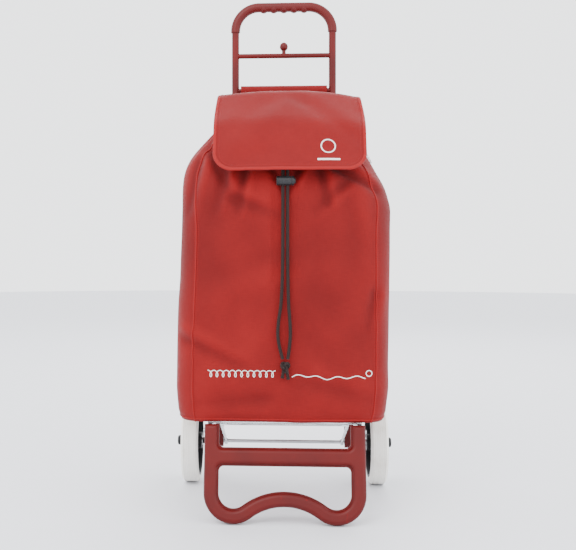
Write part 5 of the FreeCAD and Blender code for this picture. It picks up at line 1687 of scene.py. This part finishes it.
    def build_binding(self) -> bpy.types.Object:
        """Folds the tape round the flap's free edges.

        Returns:
            The binding.
        """
        inset = self.corner
        down = np.linspace(0.004, self.length - inset, 110)
        left, right = self.edges(down)
        bottom_left, bottom_right = self.edges(np.array([self.length]))
        turn = np.linspace(0, math.pi / 2, 26)[1:-1]
        low = self.length - inset
        xs = [left, bottom_left + inset - inset * np.cos(turn),
              np.linspace(float(bottom_left[0]) + inset, float(bottom_right[0]) - inset, 70),
              bottom_right - inset + inset * np.sin(turn), right[::-1]]
        vs = [down, low + inset * np.sin(turn), np.full(70, self.length),
              low + inset * np.cos(turn), down[::-1]]
        x, v = np.concatenate(xs), np.concatenate(vs)
        along = np.stack([np.gradient(x), np.gradient(v)], axis=1)
        inward = unit(np.stack([along[:, 1], -along[:, 0]], axis=1))
        half = self.thickness / 2
        wide, proud = self.binding, half + 0.0009
        ring = ((wide, half + 0.0002), (wide - 0.0006, proud), (wide * 0.5, proud + 0.0001),
                (0.0008, proud), (-0.0003, half), (-0.0006, 0.0), (-0.0003, -half),
                (0.0008, -proud), (wide * 0.5, -proud - 0.0001), (wide - 0.0006, -proud),
                (wide, -half - 0.0002), (wide, half + 0.0002))
        rows = []
        for inset_by, height in ring:
            px, pv = x + inward[:, 0] * inset_by, v + inward[:, 1] * inset_by
            rows.append(self.surface(px, pv) + self.normal(px, pv) * height)
        points = np.stack(rows, axis=1)
        steps = np.linalg.norm(np.diff(points[:, 5], axis=0), axis=1)
        run = np.repeat(np.concatenate([[0], np.cumsum(steps)])[:, None], len(ring), axis=1)
        depth = np.repeat(np.linspace(0, 0.013, len(ring))[None], len(x), axis=0)
        tape = Bench.cloth_grid("flap_binding_tape", points, run, depth)
        Bench.close_rims(tape)
        Bench.face_out(tape)
        Bench.smooth(tape, 70.0)
        return tape

    def build_motif(self) -> list[bpy.types.Object]:
        """Works the plain stitched ring, and the short bar below it.

        Returns:
            The ring and the bar.
        """
        spots = np.linspace(0, self.length, len(self.line))
        front = self.line[:, 1] < 0.76
        spin = np.linspace(0, 2 * math.pi, 72)
        ring = np.stack([0.0775 + 0.0125 * np.cos(spin), 0.6695 + 0.0125 * np.sin(spin)], axis=1)
        bar = np.stack([np.linspace(0.058, 0.098, 24), np.full(24, 0.6440)], axis=1)
        made = []
        for name, line, radius in (("motif_ring", ring, 0.0011), ("motif_bar", bar, 0.0019)):
            v = np.interp(-line[:, 1], -self.line[front, 1], spots[front])
            up = self.normal(line[:, 0], v)
            path = self.surface(line[:, 0], v) + up * (self.thickness / 2 + 0.0002)
            made.append(Bench.tube(name, path, radius, 6, False, 0.45, up))
        return made

    def build(self, finishes: Finishes, hand: Handover) -> None:
        """Builds and hands over the flap, its binding and its motif.

        Args:
            finishes: the materials.
            hand: how pieces are handed over.
        """
        self.draw_spine()
        sheet = hand.give(self.build_sheet(), finishes.flap, "flap", ["flap"])
        tape = hand.give(self.build_binding(), finishes.binding, "flap",
                         ["flap_binding"])
        for line in self.build_motif():
            hand.give(line, finishes.thread, "flap")


# ---------------------------------------------------------------- frame finishes


@dataclass
class FrameDress:
    """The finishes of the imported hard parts."""

    def dress(self, finishes: Finishes) -> None:
        """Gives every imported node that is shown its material.

        Args:
            finishes: the materials.
        """
        by_slot = {
            "frame_paint": finishes.enamel, "grip_plastic": finishes.grip,
            "moulded_red": finishes.moulded, "steel": finishes.zinc,
            "bright_wire": finishes.bright, "black_plastic": finishes.black,
            "tyre_cream": finishes.tyre, "rim_black": finishes.black,
            "bag_fabric": finishes.bag, "binding_fabric": finishes.binding,
            "cord_fabric": finishes.cord, "label_fabric": finishes.label,
            "lock_plastic": finishes.lock, "board": finishes.board,
        }
        for part in frame["record"]["subparts"]:
            node = frame["nodes"][part["node"]]
            material = by_slot[part["material_slot"]]
            if part["node"] == "foot_loop":
                material = finishes.foot
            if not node.material_slots:
                node.data.materials.append(material)
            for place in node.material_slots:
                place.material = material


def corners(box: tuple[Vector, Vector]) -> list[list[float]]:
    """A box's two corners as plain numbers."""
    return [list(box[0]), list(box[1])]


def main() -> None:
    """Builds the scene: camera, cords, bag, flap, finishes and studio."""
    logging.basicConfig(level=logging.INFO, format="%(name)s: %(message)s")
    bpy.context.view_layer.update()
    studio, hand, finishes = Studio(), Handover(), Finishes()
    studio.set_camera()
    FrameDress().dress(finishes)
    Drawstring().build(finishes, hand)
    Bag(BagForm()).build(finishes, hand)
    Flap().build(finishes, hand)
    studio.light()
    studio.lay_floor(finishes.floor)


if __name__ == "__main__":
    main()
